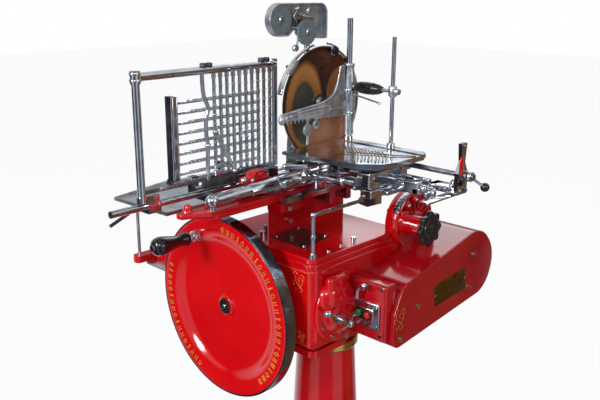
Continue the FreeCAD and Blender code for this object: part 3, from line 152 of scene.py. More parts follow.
@dataclass(frozen=True)
class Finish:
    """A surface: what it is, how it was made and what that gives the eye.

    colour and worn are the clean and the worn or shaded colour. patch_mm is the size of the slow colour
    change, grain_mm the size of the fine relief and relief its strength in millimetres.
    """

    name: str
    colour: str
    worn: str
    metallic: float = 0.0
    roughness: float = 0.4
    rough_change: float = 0.1
    coat: float = 0.0
    coat_roughness: float = 0.04
    patch_mm: float = 60.0
    grain_mm: float = 1.5
    relief: float = 0.02
    stretch: Point = (1.0, 1.0, 1.0)
    made: dict = field(default_factory=dict, compare=False, hash=False)

    def material(self) -> bpy.types.Material:
        """Build the material once and give it again on later calls.

        Returns:
            The Blender material.
        """
        if "material" not in self.made:
            self.made["material"] = self.build()
        return self.made["material"]

    def build(self) -> bpy.types.Material:
        """Build the node tree of the finish.

        Returns:
            A new material.
        """
        material = bpy.data.materials.new(self.name)
        tree = empty_tree(material)
        place = add_node(tree, "TexCoord").outputs["Object"]
        colour, rough, height = self.pattern(tree, place)
        bump = add_node(tree, "Bump", {
            "Strength": 1.0, "Distance": self.relief * MM, "Height": height})
        surface = add_node(tree, "BsdfPrincipled", {
            "Base Color": colour, "Roughness": rough, "Metallic": self.metallic,
            "Normal": bump.outputs["Normal"]})
        if self.coat:
            surface.inputs["Coat Weight"].default_value = self.coat
            surface.inputs["Coat Roughness"].default_value = self.coat_roughness
        add_node(tree, "OutputMaterial", {"Surface": surface.outputs["BSDF"]})
        return material

    def pattern(self, tree: Tree, place: Socket) -> tuple:
        """Make the colour, roughness and height of the surface.

        Args:
            tree: The node tree.
            place: The socket with the object's coordinates.

        Returns:
            Sockets for colour, roughness and height.
        """
        slow = add_node(tree, "TexNoise", {
            "Vector": place, "Scale": 1.0 / (self.patch_mm * MM), "Detail": 4.0, "Roughness": 0.55})
        blend = ramp(tree, slow.outputs["Fac"], [(0.32, linear(self.worn)), (0.62, linear(self.colour))])
        stretched = add_node(tree, "Mapping", {"Vector": place, "Scale": self.stretch})
        fine = add_node(tree, "TexNoise", {
            "Vector": stretched.outputs["Vector"], "Scale": 1.0 / (self.grain_mm * MM), "Detail": 3.0})
        rough = add_node(tree, "MapRange", {
            "Value": slow.outputs["Fac"], "From Min": 0.3, "From Max": 0.7,
            "To Min": max(0.02, self.roughness - self.rough_change / 2),
            "To Max": self.roughness + self.rough_change / 2})
        return blend, rough.outputs["Result"], fine.outputs["Fac"]


# Sprayed and baked enamel: a deep gloss under a clear coat, with a faint orange peel about 3 mm across.
RED_ENAMEL = Finish("sprayed_red_enamel", "#CC060F", "#B2040D", roughness=0.13, coat=0.25, patch_mm=110,
                    grain_mm=3.0, relief=0.010)
WHEEL_ENAMEL = Finish("sprayed_wheel_enamel", "#CE030C", "#C0030B", roughness=0.14, coat=0.15, patch_mm=140,
                      grain_mm=3.0, relief=0.010)
CASE_ENAMEL = Finish("sprayed_case_enamel", "#AC0A15", "#980813", roughness=0.14, coat=0.3, patch_mm=160,
                     grain_mm=3.0, relief=0.008)
# Buffed chromium plate over steel: near mirror, with faint buffing haze.
CHROME = Finish("buffed_chromium_plate", "#D4D6D9", "#B4B7BC", metallic=1.0, roughness=0.10,
                rough_change=0.08, patch_mm=35, grain_mm=0.8, relief=0.003)
# Ground steel bar, polished along its length.
BAR_STEEL = Finish("polished_steel_bar", "#C3C6CA", "#9A9DA2", metallic=1.0, roughness=0.16,
                   rough_change=0.10, patch_mm=30, grain_mm=0.6, relief=0.004, stretch=(1.0, 0.1, 1.0))
# The flywheel's rim band: steel ground and polished round the wheel, drawn a darker grey than the other steel.
RIM_STEEL = Finish("ground_rim_steel", "#8C949C", "#656C74", metallic=1.0, roughness=0.16, rough_change=0.10,
                   patch_mm=60, grain_mm=0.6, relief=0.004, stretch=(1.0, 0.1, 1.0))
# The table's top, worn by meat and cloths: still bright, but grey.
TABLE_STEEL = Finish("worn_table_plate", "#DDE1E6", "#B9BEC4", metallic=1.0, roughness=0.15, rough_change=0.10,
                     patch_mm=45, grain_mm=0.7, relief=0.003)
# Nickel over a cast body, rubbed to a soft sheen.
SATIN_NICKEL = Finish("satin_nickel_casting", "#C6C9CE", "#9EA1A6", metallic=0.85, roughness=0.34,
                      rough_change=0.14, patch_mm=22, grain_mm=1.0, relief=0.010)
# Turned and milled steel: tool marks about half a millimetre apart.
TURNED_STEEL = Finish("turned_steel", "#A2A4A8", "#7B7D81", metallic=1.0, roughness=0.32, patch_mm=18,
                      grain_mm=0.5, relief=0.01, stretch=(4.0, 1.0, 1.0))
# Polished aluminium casting: pale and a little cloudy.
CAST_ALUMINIUM = Finish("polished_cast_aluminium", "#CDD0D2", "#A7ABAE", metallic=1.0, roughness=0.20,
                        rough_change=0.14, patch_mm=28, grain_mm=1.2, relief=0.008)
TRAY_ALUMINIUM = Finish("anodised_tray_sheet", "#DDE3E4", "#C2CACC", metallic=1.0, roughness=0.30,
                        patch_mm=50, grain_mm=0.7, relief=0.003)
BLACK_ENAMEL = Finish("gloss_black_enamel", "#101113", "#1C1D20", roughness=0.22, coat=0.6, patch_mm=70,
                      grain_mm=3.0, relief=0.008)
BLACK_PLASTIC = Finish("moulded_black_phenolic", "#0C0C0D", "#19191A", roughness=0.20, patch_mm=25,
                       grain_mm=1.2, relief=0.006, coat=0.4)
KNOB_PLASTIC = Finish("moulded_knob_plastic", "#141515", "#242626", roughness=0.32, patch_mm=25,
                      grain_mm=1.0, relief=0.01, coat=0.2)
RUBBER = Finish("moulded_rubber", "#151515", "#262626", roughness=0.75, patch_mm=20, grain_mm=0.9,
                relief=0.05)
BRASS = Finish("polished_brass", "#D8B86A", "#B08D45", metallic=1.0, roughness=0.22, patch_mm=30,
               grain_mm=0.7, relief=0.006, stretch=(1.0, 1.0, 6.0))
PLATE_BRASS = Finish("etched_brass_sheet", "#8A6A2C", "#6F5320", metallic=1.0, roughness=0.40, patch_mm=22,
                     grain_mm=0.5, relief=0.006)
GREY_IRON = Finish("cast_grey_iron", "#5B5C5E", "#3F4042", metallic=0.7, roughness=0.55, patch_mm=14,
                   grain_mm=0.9, relief=0.06)
CHAIN_STEEL = Finish("oiled_chain_steel", "#5E5D5B", "#3A3936", metallic=1.0, roughness=0.36, patch_mm=9,
                     grain_mm=0.6, relief=0.01)
# Bonded abrasive wheel: grit about half a millimetre, drawn a little coarser so that it shows.
ABRASIVE = Finish("bonded_abrasive", "#6F7A7E", "#59646A", roughness=0.85, patch_mm=12, grain_mm=0.9,
                  relief=0.18)
GREEN_PLASTIC = Finish("green_button_plastic", "#1F7A3C", "#16612E", roughness=0.28, coat=0.3)
RED_PLASTIC = Finish("red_button_plastic", "#C2181B", "#9E1214", roughness=0.28, coat=0.3)
GOLD_LINE = Finish("gold_striping_paint", "#D9A63A", "#B5862A", metallic=0.3, roughness=0.38, patch_mm=12,
                   grain_mm=0.8, relief=0.004)
# A dark red plate that paints the shade in the recess behind the switch buttons.
PAINTED_RECESS_SHADE = Finish("painted_recess_shade_plate", "#2A0A0D", "#1A0608", roughness=0.30, coat=0.4, patch_mm=60)


@dataclass(frozen=True)
class PaintedReflectionBladeFinish(Finish):
    """A hollow ground knife, polished on a lathe, with painted reflections of a warm room in its hollow.

    The hollow's reflections are painted into the colour as bent bands of brown, copper and gold, two copper ovals
    and a dark brown outer ring; the ground edge stays bright.
    """

    north_mm: float = 65.0
    high_mm: float = 1288.0
    radius_mm: float = 150.0

    def reach(self, tree: Tree, place: Socket, spot: tuple) -> Socket:
        """How far a point lies out from an oval on the knife.

        Args:
            tree: The node tree.
            place: The socket with the object's coordinates.
            spot: Y and Z of the oval's middle and its half width and half height in millimetres.

        Returns:
            A socket that is 1 on the oval.
        """
        north, high, wide, tall = spot
        placed = add_node(tree, "Mapping", {
            "Vector": place, "Location": (0.0, -north / wide, -high / tall),
            "Scale": (0.0, 1.0 / (wide * MM), 1.0 / (tall * MM))})
        length = add_node(tree, "VectorMath", {0: placed.outputs["Vector"]}, operation="LENGTH")
        return length.outputs["Value"]

    def laid(self, tree: Tree, under: Socket, reach: Socket, stops: Sequence[Pair], colour: str) -> Socket:
        """Lay a colour over another one where the stops say so.

        Args:
            tree: The node tree.
            under: The colour underneath.
            reach: The value that the stops are read at.
            stops: Value and share of the new colour, from left to right.
            colour: The new colour.

        Returns:
            The colour socket.
        """
        mask = ramp(tree, reach, [(at, (share, share, share, 1.0)) for at, share in stops])
        return add_node(tree, "Mix", {
            0: mask, 6: under, 7: linear(colour)}, data_type="RGBA").outputs[2]

    def pattern(self, tree: Tree, place: Socket) -> tuple:
        """Make the painted reflections in the hollow, the pale edge and the rings about the knife's shaft.

        Args:
            tree: The node tree.
            place: The socket with the object's coordinates.

        Returns:
            Sockets for colour, roughness and height.
        """
        # Painted reflections: bent bands of the room, two copper ovals and a dark brown outer ring, laid into the
        # blade's colour.
        bend = self.reach(tree, place, (6.0, 1266.0, 156.0, 270.0))
        bands = ramp(tree, bend, [(at, linear(colour)) for at, colour in (
            (0.0, "#5F5E54"), (0.29, "#55544B"), (0.325, "#B87C40"), (0.44, "#CB9050"),
            (0.485, "#8E5430"), (0.52, "#3E2118"), (0.62, "#56301F"), (0.80, "#6A3C28"))])
        colour = self.laid(tree, bands, self.reach(tree, place, (140.0, 1305.0, 92.0, 142.0)),
                           [(0.46, 1.0), (0.52, 0.0)], "#C98A5C")
        colour = self.laid(tree, colour, self.reach(tree, place, (110.0, 1186.0, 190.0, 134.0)),
                           [(0.47, 1.0), (0.52, 0.0)], "#C48A6C")
        out = self.reach(tree, place, (self.north_mm, self.high_mm, self.radius_mm, self.radius_mm))
        colour = self.laid(tree, colour, out, [(0.90, 0.0), (0.93, 0.85)], "#2C1913")
        colour = self.laid(tree, colour, out, [(0.975, 0.0), (0.985, 1.0)], "#A39A92")
        rings = add_node(tree, "TexNoise", {
            "W": out, "Scale": 130.0, "Detail": 2.0}, noise_dimensions="1D")
        slow = add_node(tree, "TexNoise", {"Vector": place, "Scale": 24.0, "Detail": 3.0})
        rough = add_node(tree, "MapRange", {
            "Value": slow.outputs["Fac"], "From Min": 0.3, "From Max": 0.7, "To Min": self.roughness,
            "To Max": self.roughness + self.rough_change})
        return colour, rough.outputs["Result"], rings.outputs["Fac"]


# The blade's colour carries painted reflections of the room.
BLADE_PAINTED_REFLECTIONS = PaintedReflectionBladeFinish("blade_painted_reflections", "#B9BBBE", "#8F9194", metallic=0.45, roughness=0.26,
                    rough_change=0.06, relief=0.002)


# ---------------------------------------------------------------- tools for making pieces


def bare() -> None:
    """Leave edit mode and deselect everything."""
    if bpy.context.object and bpy.context.object.mode != "OBJECT":
        bpy.ops.object.mode_set(mode="OBJECT")
    bpy.ops.object.select_all(action="DESELECT")


def pick(piece: Piece) -> None:
    """Select a piece alone and make it the active one.

    Args:
        piece: The piece.
    """
    bare()
    piece.select_set(True)
    bpy.context.view_layer.objects.active = piece


def settle(piece: Piece) -> None:
    """Put a piece's place into its mesh, so that its object sits at the origin.

    Args:
        piece: The finished object.
    """
    pick(piece)
    bpy.ops.object.transform_apply(location=True, rotation=True, scale=True)


def soften(piece: Piece, width_mm: float, segments: int = 2) -> None:
    """Bevel a piece's sharp edges and shade it smooth between them.

    Args:
        piece: The object.
        width_mm: Width of the bevel.
        segments: Steps across the bevel.
    """
    settle(piece)
    if width_mm > 0:
        bevel = piece.modifiers.new("edge", "BEVEL")
        bevel.width = width_mm * MM
        bevel.segments = segments
        bevel.limit_method = "ANGLE"
        bevel.angle_limit = math.radians(BEVEL_DEGREES)
        bpy.ops.object.modifier_apply(modifier=bevel.name)
    bpy.ops.object.shade_smooth_by_angle(angle=math.radians(SMOOTH_DEGREES))


def outward() -> None:
    """Merge doubles and turn all faces of the mesh in edit mode outwards."""
    bpy.ops.mesh.select_all(action="SELECT")
    bpy.ops.mesh.remove_doubles(threshold=DOUBLES_M)
    bpy.ops.mesh.normals_make_consistent(inside=False)
    bpy.ops.object.mode_set(mode="OBJECT")


def block(low: Point, high: Point, edge_mm: float = 1.0, segments: int = 2) -> Piece:
    """A block with bevelled edges between two corners in millimetres.

    Args:
        low: Lowest corner.
        high: Highest corner.
        edge_mm: Width of the bevel.
        segments: Steps across the bevel.

    Returns:
        The new object.
    """
    bare()
    middle = [(a + b) / 2 * MM for a, b in zip(low, high)]
    bpy.ops.mesh.primitive_cube_add(size=1.0, location=middle)
    piece = bpy.context.object
    piece.scale = [abs(b - a) * MM for a, b in zip(low, high)]
    soften(piece, edge_mm, segments)
    return piece


def ring_of(points: Sequence[Point], fill: str = "NOTHING") -> Piece:
    """A closed loop of edges through points given in millimetres, left in edit mode and selected.

    Args:
        points: Corners of the loop.
        fill: Blender's fill type for the loop.

    Returns:
        The new object.
    """
    bare()
    bpy.ops.mesh.primitive_circle_add(vertices=len(points), radius=0.01, fill_type=fill)
    piece = bpy.context.object
    for vertex, point in zip(piece.data.vertices, points):
        vertex.co = [v * MM for v in point]
    bpy.ops.object.mode_set(mode="EDIT")
    bpy.ops.mesh.select_all(action="SELECT")
    return piece


def plate(points: Sequence[Point], push: Point, edge_mm: float = 0.8,
          segments: int = 2) -> Piece:
    """A flat outline pushed along a vector.

    Args:
        points: Corners of the outline in millimetres.
        push: How far the outline is pushed, in millimetres.
        edge_mm: Width of the bevel.
        segments: Steps across the bevel.

    Returns:
        The new object.
    """
    piece = ring_of(points, "NGON")
    bpy.ops.mesh.extrude_region_move(TRANSFORM_OT_translate={"value": [v * MM for v in push]})
    outward()
    soften(piece, edge_mm, segments)
    return piece


class Axis(Enum):
    """The direction that a turned piece is turned about."""

    X = (1.0, 0.0, 0.0)
    Y = (0.0, 1.0, 0.0)
    Z = (0.0, 0.0, 1.0)


def turned(axis: Axis, start: Point, profile: Sequence[Pair], steps: int = 48,
           edge_mm: float = 0.0) -> Piece:
    """A piece turned on a lathe from a closed profile.

    Args:
        axis: The axis it is turned about.
        start: A point on the axis, in millimetres.
        profile: Radius and distance along the axis of each corner.
        steps: Steps round the axis.
        edge_mm: Width of the bevel on sharp edges.

    Returns:
        The new object.
    """
    along = Vector(axis.value)
    across = Vector((0.0, 0.0, 1.0)) if axis is not Axis.Z else Vector((1.0, 0.0, 0.0))
    base = Vector(start)
    points = [tuple(base + along * z + across * r) for r, z in profile]
    piece = ring_of(points)
    bpy.ops.mesh.spin(steps=steps, angle=2 * math.pi, center=base * MM, axis=along)
    outward()
    soften(piece, edge_mm)
    return piece


def bar(points: Sequence[Point], radius_mm: float, round_corners: bool = True,
        sides: int = 6) -> Piece:
    """A round bar along a path.

    Args:
        points: The path in millimetres.
        radius_mm: Radius of the bar.
        round_corners: Whether the path is smooth.
        sides: Resolution of the round section.

    Returns:
        The new object.
    """
    bare()
    bpy.ops.curve.primitive_nurbs_path_add()
    piece = bpy.context.object
    curve = piece.data
    curve.splines.clear()
    spline = curve.splines.new("NURBS" if round_corners else "POLY")
    spline.points.add(len(points) - 1)
    for target, point in zip(spline.points, points):
        target.co = (*(v * MM for v in point), 1.0)
    if round_corners:
        spline.order_u = 3
        spline.use_endpoint_u = True
        spline.resolution_u = 6
    curve.bevel_depth = radius_mm * MM
    curve.bevel_resolution = sides
    curve.use_fill_caps = True
    bpy.ops.object.convert(target="MESH")
    piece = bpy.context.object
    bpy.ops.object.mode_set(mode="EDIT")
    outward()
    soften(piece, 0.0)
    return piece


def ball(centre: Point, radii: Point) -> Piece:
    """A ball or an egg shape.

    Args:
        centre: Its centre in millimetres.
        radii: Its three radii in millimetres.

    Returns:
        The new object.
    """
    bare()
    bpy.ops.mesh.primitive_uv_sphere_add(segments=32, ring_count=16, radius=MM)
    piece = bpy.context.object
    piece.scale = radii
    bpy.ops.object.transform_apply(location=False, rotation=False, scale=True)
    piece.location = [v * MM for v in centre]
    soften(piece, 0.0)
    return piece


def merged(pieces: Sequence[Piece]) -> Piece:
    """Join several meshes into the first one.

    Args:
        pieces: The meshes.

    Returns:
        The first one, which holds them all.
    """
    pick(pieces[0])
    for piece in pieces:
        piece.select_set(True)
    if len(pieces) > 1:
        bpy.ops.object.join()
    return pieces[0]


def fit(name: str, pieces: Union[Piece, list[Piece]], finish: Finish, body: str,
        instead_of: Iterable[str] = ()) -> None:
    """Name and dress a new piece and let it ride on its body.

    Args:
        name: Name of the piece.
        pieces: Its mesh, or a list of meshes that are joined.
        finish: Its finish.
        body: The CAD body it rides on.
        instead_of: CAD nodes that it stands for.
    """
    piece = merged(pieces if isinstance(pieces, list) else [pieces])
    piece.name = name
    piece.data.materials.clear()
    piece.data.materials.append(finish.material())
    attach(piece, body)
    if instead_of:
        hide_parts(*instead_of)
    LOG.info("piece %s on %s", name, body)


def dress(nodes: dict, finish: Finish, *names: str) -> None:
    """Give CAD nodes a finish.

    Args:
        nodes: The CAD nodes by name.
        finish: The finish.
        names: Which nodes get it.
    """
    for name in names:
        mesh = nodes[name].data
        for index in range(max(1, len(mesh.materials))):
            if index < len(mesh.materials):
                mesh.materials[index] = finish.material()
            else:
                mesh.materials.append(finish.material())


# ---------------------------------------------------------------- studio


@dataclass
class Studio:
    """Camera, floor, lamps and surroundings."""

    camera_mm: Point = (1295.85, -1447.14, 1607.77)
    azimuth: float = 44.01
    elevation: float = 16.11
    roll: float = 0.21
    lens: float = 46.08
    sensor: float = 36.0
    floor_m: float = 30.0
    white_share: float = 0.94
    aim: Point = (-0.1, 0.0, 1.0)

    def build(self) -> None:
        """Build the whole studio."""
        bpy.context.scene.view_settings.view_transform = "Standard"
        self.add_camera()
        self.add_floor()
        self.add_world()
        self.add_lamp("key", (-0.5, -3.6, 2.3), 1.0, 90.0)
        self.add_lamp("fill", (2.2, -2.6, 2.9), 0.8, 28.0)
        self.add_lamp("side", (3.2, 0.9, 2.0), 0.8, 12.0)
        self.add_lamp("back", (-1.6, 3.0, 3.0), 2.0, 22.0)

    def add_camera(self) -> None:
        """Place the camera."""
        data = bpy.data.cameras.new("camera")
        data.sensor_width = self.sensor
        data.lens = self.lens
        camera = bpy.data.objects.new("camera", data)
        bpy.context.scene.collection.objects.link(camera)
        turn = (Matrix.Rotation(math.radians(self.azimuth), 4, "Z")
                @ Matrix.Rotation(math.radians(90 - self.elevation), 4, "X")
                @ Matrix.Rotation(math.radians(self.roll), 4, "Z"))
        camera.matrix_world = Matrix.Translation([v * MM for v in self.camera_mm]) @ turn
        bpy.context.scene.camera = camera

    def screens(self, tree: Tree, way: Socket) -> Socket:
        """Pale screens and dark gaps round the machine, as polished metal shows them.

        Args:
            tree: The node tree.
            way: A direction, or a place on the floor, as seen from the machine.

        Returns:
            The colour socket.
        """
        parts = add_node(tree, "SeparateXYZ", {"Vector": way})
        turn = add_node(tree, "Math", {
            0: parts.outputs["Y"], 1: parts.outputs["X"]}, operation="ARCTAN2")
        share = add_node(tree, "MapRange", {
            "Value": turn.outputs["Value"], "From Min": -math.pi, "From Max": math.pi})
        return ramp(tree, share.outputs["Result"], [
            (0.00, (0.95, 0.96, 0.97, 1)), (0.075, (0.55, 0.57, 0.60, 1)), (0.10, (0.030, 0.024, 0.030, 1)),
            (0.185, (0.030, 0.024, 0.030, 1)), (0.215, (0.50, 0.54, 0.62, 1)), (0.285, (0.70, 0.74, 0.82, 1)),
            (0.31, (0.12, 0.15, 0.21, 1)), (0.43, (0.08, 0.10, 0.15, 1)), (0.455, (0.55, 0.60, 0.69, 1)),
            (0.53, (0.60, 0.64, 0.72, 1)), (0.56, (0.060, 0.040, 0.030, 1)), (0.60, (0.20, 0.120, 0.070, 1)),
            (0.66, (0.20, 0.120, 0.070, 1)), (0.685, (0.04, 0.035, 0.035, 1)), (0.72, (0.30, 0.33, 0.38, 1)),
            (0.78, (0.36, 0.39, 0.44, 1)), (0.81, (0.95, 0.95, 0.95, 1)),
            (0.83, (0.30, 0.33, 0.37, 1)), (0.91, (0.24, 0.27, 0.31, 1)), (0.94, (0.95, 0.96, 0.97, 1))])

    def rays(self, tree: Tree) -> tuple:
        """Tell which rays come from the camera and which were mirrored or went through glass.

        Args:
            tree: The node tree.

        Returns:
            A socket for the rays from the camera and one for the others.
        """
        path = add_node(tree, "LightPath")
        mirrored = add_node(tree, "Math", {
            0: path.outputs["Is Glossy Ray"], 1: path.outputs["Is Transmission Ray"]}, operation="MAXIMUM")
        return path.outputs["Is Camera Ray"], mirrored.outputs["Value"]

    def glow(self, tree: Tree, colour: object, strength: float = 1.0) -> Socket:
        """Light of one colour from the surroundings."""
        lit = add_node(tree, "Background", {"Color": colour, "Strength": strength})
        return lit.outputs["Background"]

    def add_floor(self) -> None:
        """Lay a wide pale floor that takes the shadow and looks white to the camera."""
        bare()
        bpy.ops.mesh.primitive_plane_add(size=self.floor_m, location=(0.0, 0.0, 0.0))
        floor = bpy.context.object
        floor.name = "studio_floor"
        material = bpy.data.materials.new("pale_floor")
        tree = empty_tree(material)
        place = add_node(tree, "TexCoord").outputs["Object"]
        paper = add_node(tree, "BsdfDiffuse", {"Color": (0.86, 0.86, 0.85, 1.0)})
        glow = add_node(tree, "Emission", {"Color": (1.0, 1.0, 1.0, 1.0), "Strength": 1.0})
        screen = add_node(tree, "Emission", {"Color": self.screens(tree, place), "Strength": 1.0})
        direct, mirrored = self.rays(tree)
        seen = add_node(tree, "Math", {0: direct, 1: self.white_share}, operation="MULTIPLY")
        lit = add_node(tree, "MixShader", {
            0: seen.outputs["Value"], 1: paper.outputs["BSDF"], 2: glow.outputs["Emission"]})
        mixed = add_node(tree, "MixShader", {
            0: mirrored, 1: lit.outputs["Shader"], 2: screen.outputs["Emission"]})
        add_node(tree, "OutputMaterial", {"Surface": mixed.outputs["Shader"]})
        floor.data.materials.append(material)

    def add_world(self) -> None:
        """Surround the part with white for the camera and with screens for polished metal."""
        world = bpy.data.worlds.new("room")
        bpy.context.scene.world = world
        tree = empty_tree(world)
        way = add_node(tree, "TexCoord").outputs["Generated"]
        height = add_node(tree, "SeparateXYZ", {"Vector": way})
        overhead = add_node(tree, "MapRange", {
            "Value": height.outputs["Z"], "From Min": 0.36, "From Max": 0.46})
        ceiling = ramp(tree, height.outputs["Z"], [(0.2, (0.90, 0.93, 0.97, 1)), (0.60, (0.84, 0.88, 0.93, 1)),
                           (0.80, (0.78, 0.82, 0.88, 1)), (0.86, (0.10, 0.10, 0.12, 1)),
                           (0.93, (0.08, 0.08, 0.10, 1)), (0.97, (0.80, 0.84, 0.90, 1))])
        both = add_node(tree, "Mix", {
            0: overhead.outputs["Result"], 6: self.screens(tree, way), 7: ceiling}, data_type="RGBA")
        room = self.glow(tree, both.outputs[2])
        soft = self.glow(tree, (0.95, 0.97, 1.0, 1.0), 0.40)
        white = self.glow(tree, (1.0, 1.0, 1.0, 1.0))
        direct, mirrored = self.rays(tree)
        unseen = add_node(tree, "MixShader", {0: mirrored, 1: soft, 2: room})
        mixed = add_node(tree, "MixShader", {0: direct, 1: unseen.outputs["Shader"], 2: white})
        add_node(tree, "OutputWorld", {"Surface": mixed.outputs["Shader"]})

    def add_lamp(self, name: str, spot: Point, size: float, watts: float) -> None:
        """Add a large soft lamp that points at the machine.

        Args:
            name: Name of the lamp.
            spot: Its place in metres.
            size: Its width in metres.
            watts: Its strength.
        """
        data = bpy.data.lights.new(name, "AREA")
        data.size = size
        data.energy = watts
        lamp = bpy.data.objects.new(name, data)
        bpy.context.scene.collection.objects.link(lamp)
        lamp.location = spot
        lamp.rotation_euler = (Vector(self.aim) - Vector(spot)).to_track_quat("-Z", "Y").to_euler()


def eased(points: Sequence[Pair], radii: Sequence[float], steps: int = 10) -> list:
    """Round the corners of a flat outline.

    Args:
        points: Corners of the outline.
        radii: Radius of each corner.
        steps: Steps round each corner.

    Returns:
        The outline with round corners.
    """
    done = []
    for index, (point, radius) in enumerate(zip(points, radii)):
        here = Vector(point)
        one = (Vector(points[index - 1]) - here).normalized()
        two = (Vector(points[(index + 1) % len(points)]) - here).normalized()
        half = one.angle(two) / 2
        middle = here + (one + two).normalized() * radius / math.sin(half)
        start = here + one * radius / math.tan(half) - middle
        end = here + two * radius / math.tan(half) - middle
        for step in range(steps + 1):
            spoke = start.lerp(end, step / steps).normalized() * radius
            done.append(tuple(middle + spoke))
    return done


def about(spot: Point, axis: Axis, degrees: float) -> Matrix:
    """A turn about an axis through a point given in millimetres."""
    centre = Matrix.Translation([v * MM for v in spot])
    return centre @ Matrix.Rotation(math.radians(degrees), 4, Vector(axis.value)) @ centre.inverted()


def moved(offset: Point) -> Matrix:
    """A move given in millimetres."""
    return Matrix.Translation([v * MM for v in offset])


def copied(piece: Piece, place: Matrix) -> Piece:
    """Copy a settled piece to another place, with a mesh of its own.

    Args:
        piece: The piece to copy.
        place: The turn and move of the copy.

    Returns:
        The copy.
    """
    twin = piece.copy()
    twin.data = piece.data.copy()
    bpy.context.scene.collection.objects.link(twin)
    twin.matrix_world = place
    settle(twin)
    return twin


def hollow(piece: Piece, wall_mm: float, depth_mm: float) -> None:
    """Sink the faces that look along +X, leaving a wall round them.

    Args:
        piece: The piece.
        wall_mm: Width of the wall.
        depth_mm: How deep the faces are sunk.
    """
    pick(piece)
    bpy.ops.object.mode_set(mode="EDIT")
    bpy.ops.mesh.select_mode(type="FACE")
    bpy.ops.mesh.select_all(action="DESELECT")
    bpy.ops.object.mode_set(mode="OBJECT")
    for face in piece.data.polygons:
        face.select = face.normal.x > 0.9
    bpy.ops.object.mode_set(mode="EDIT")
    bpy.ops.mesh.inset(thickness=wall_mm * MM)
    bpy.ops.mesh.extrude_region_move(TRANSFORM_OT_translate={"value": (-depth_mm * MM, 0, 0)})
    outward()


def trimmed(piece: Piece, spot: Point, normal: Point) -> Piece:
    """Cut away what lies beyond a plane and close the cut.

    Args:
        piece: The piece.
        spot: A point on the plane in millimetres.
        normal: The side that is cut away.

    Returns:
        The piece.
    """
    pick(piece)
    bpy.ops.object.mode_set(mode="EDIT")
    bpy.ops.mesh.select_all(action="SELECT")
    bpy.ops.mesh.bisect(plane_co=[v * MM for v in spot], plane_no=normal, use_fill=True, clear_outer=True)
    outward()
    return piece


# ---------------------------------------------------------------- the machine


CAD_FINISHES = (
    (RED_ENAMEL, "base_casting bearing_dome gauge_housing rail_beam tray_arm pedestal_column pedestal_head"),
    (WHEEL_ENAMEL, "flywheel"), (CASE_ENAMEL, "drive_case case_cover"),
    (CHROME, "guide_rod needle_frame needle_bars clamp_posts carriage_frame feed_crank feed_end_plate grip_pin "
             "housing_screws knife_guard knife_stand sharpener_head stacker_fork stop_rod switch_plate table_lever "
             "wing_handle clutch_lever"),
    (BAR_STEEL, "slide_rails carriage_track"), (RIM_STEEL, "flywheel_rim"), (SATIN_NICKEL, "clamp_bar clamp_sleeve"),
    (TABLE_STEEL, "meat_table"), (TRAY_ALUMINIUM, "slice_trays"),
    (TURNED_STEEL, "cross_bevel_gear main_bevel_gear cross_shaft cross_sprockets eccentric feed_screw knife_shaft "
                   "knife_sprocket main_shaft motor_sprocket"),
    (GREY_IRON, "eccentric_rod"), (CHAIN_STEEL, "drive_chains"), (BRASS, "bearing_bushes column_collar"),
    (BLACK_ENAMEL, "drive_motor inspection_cover"), (BLACK_PLASTIC, "crank_grip clamp_handle"),
    (KNOB_PLASTIC, "thickness_knob"), (RUBBER, "rubber_pads"), (ABRASIVE, "grinding_stone honing_stone"),
    (GREEN_PLASTIC, "start_button"), (RED_PLASTIC, "stop_button"), (BLADE_PAINTED_REFLECTIONS, "knife_blade"))


class Assembly:
    """A group of pieces that belong together."""

    def build(self) -> None:
        """Run the methods named add_..., in the order they are written in."""
        for name in vars(type(self)):
            if name.startswith("add_"):
                getattr(self, name)()


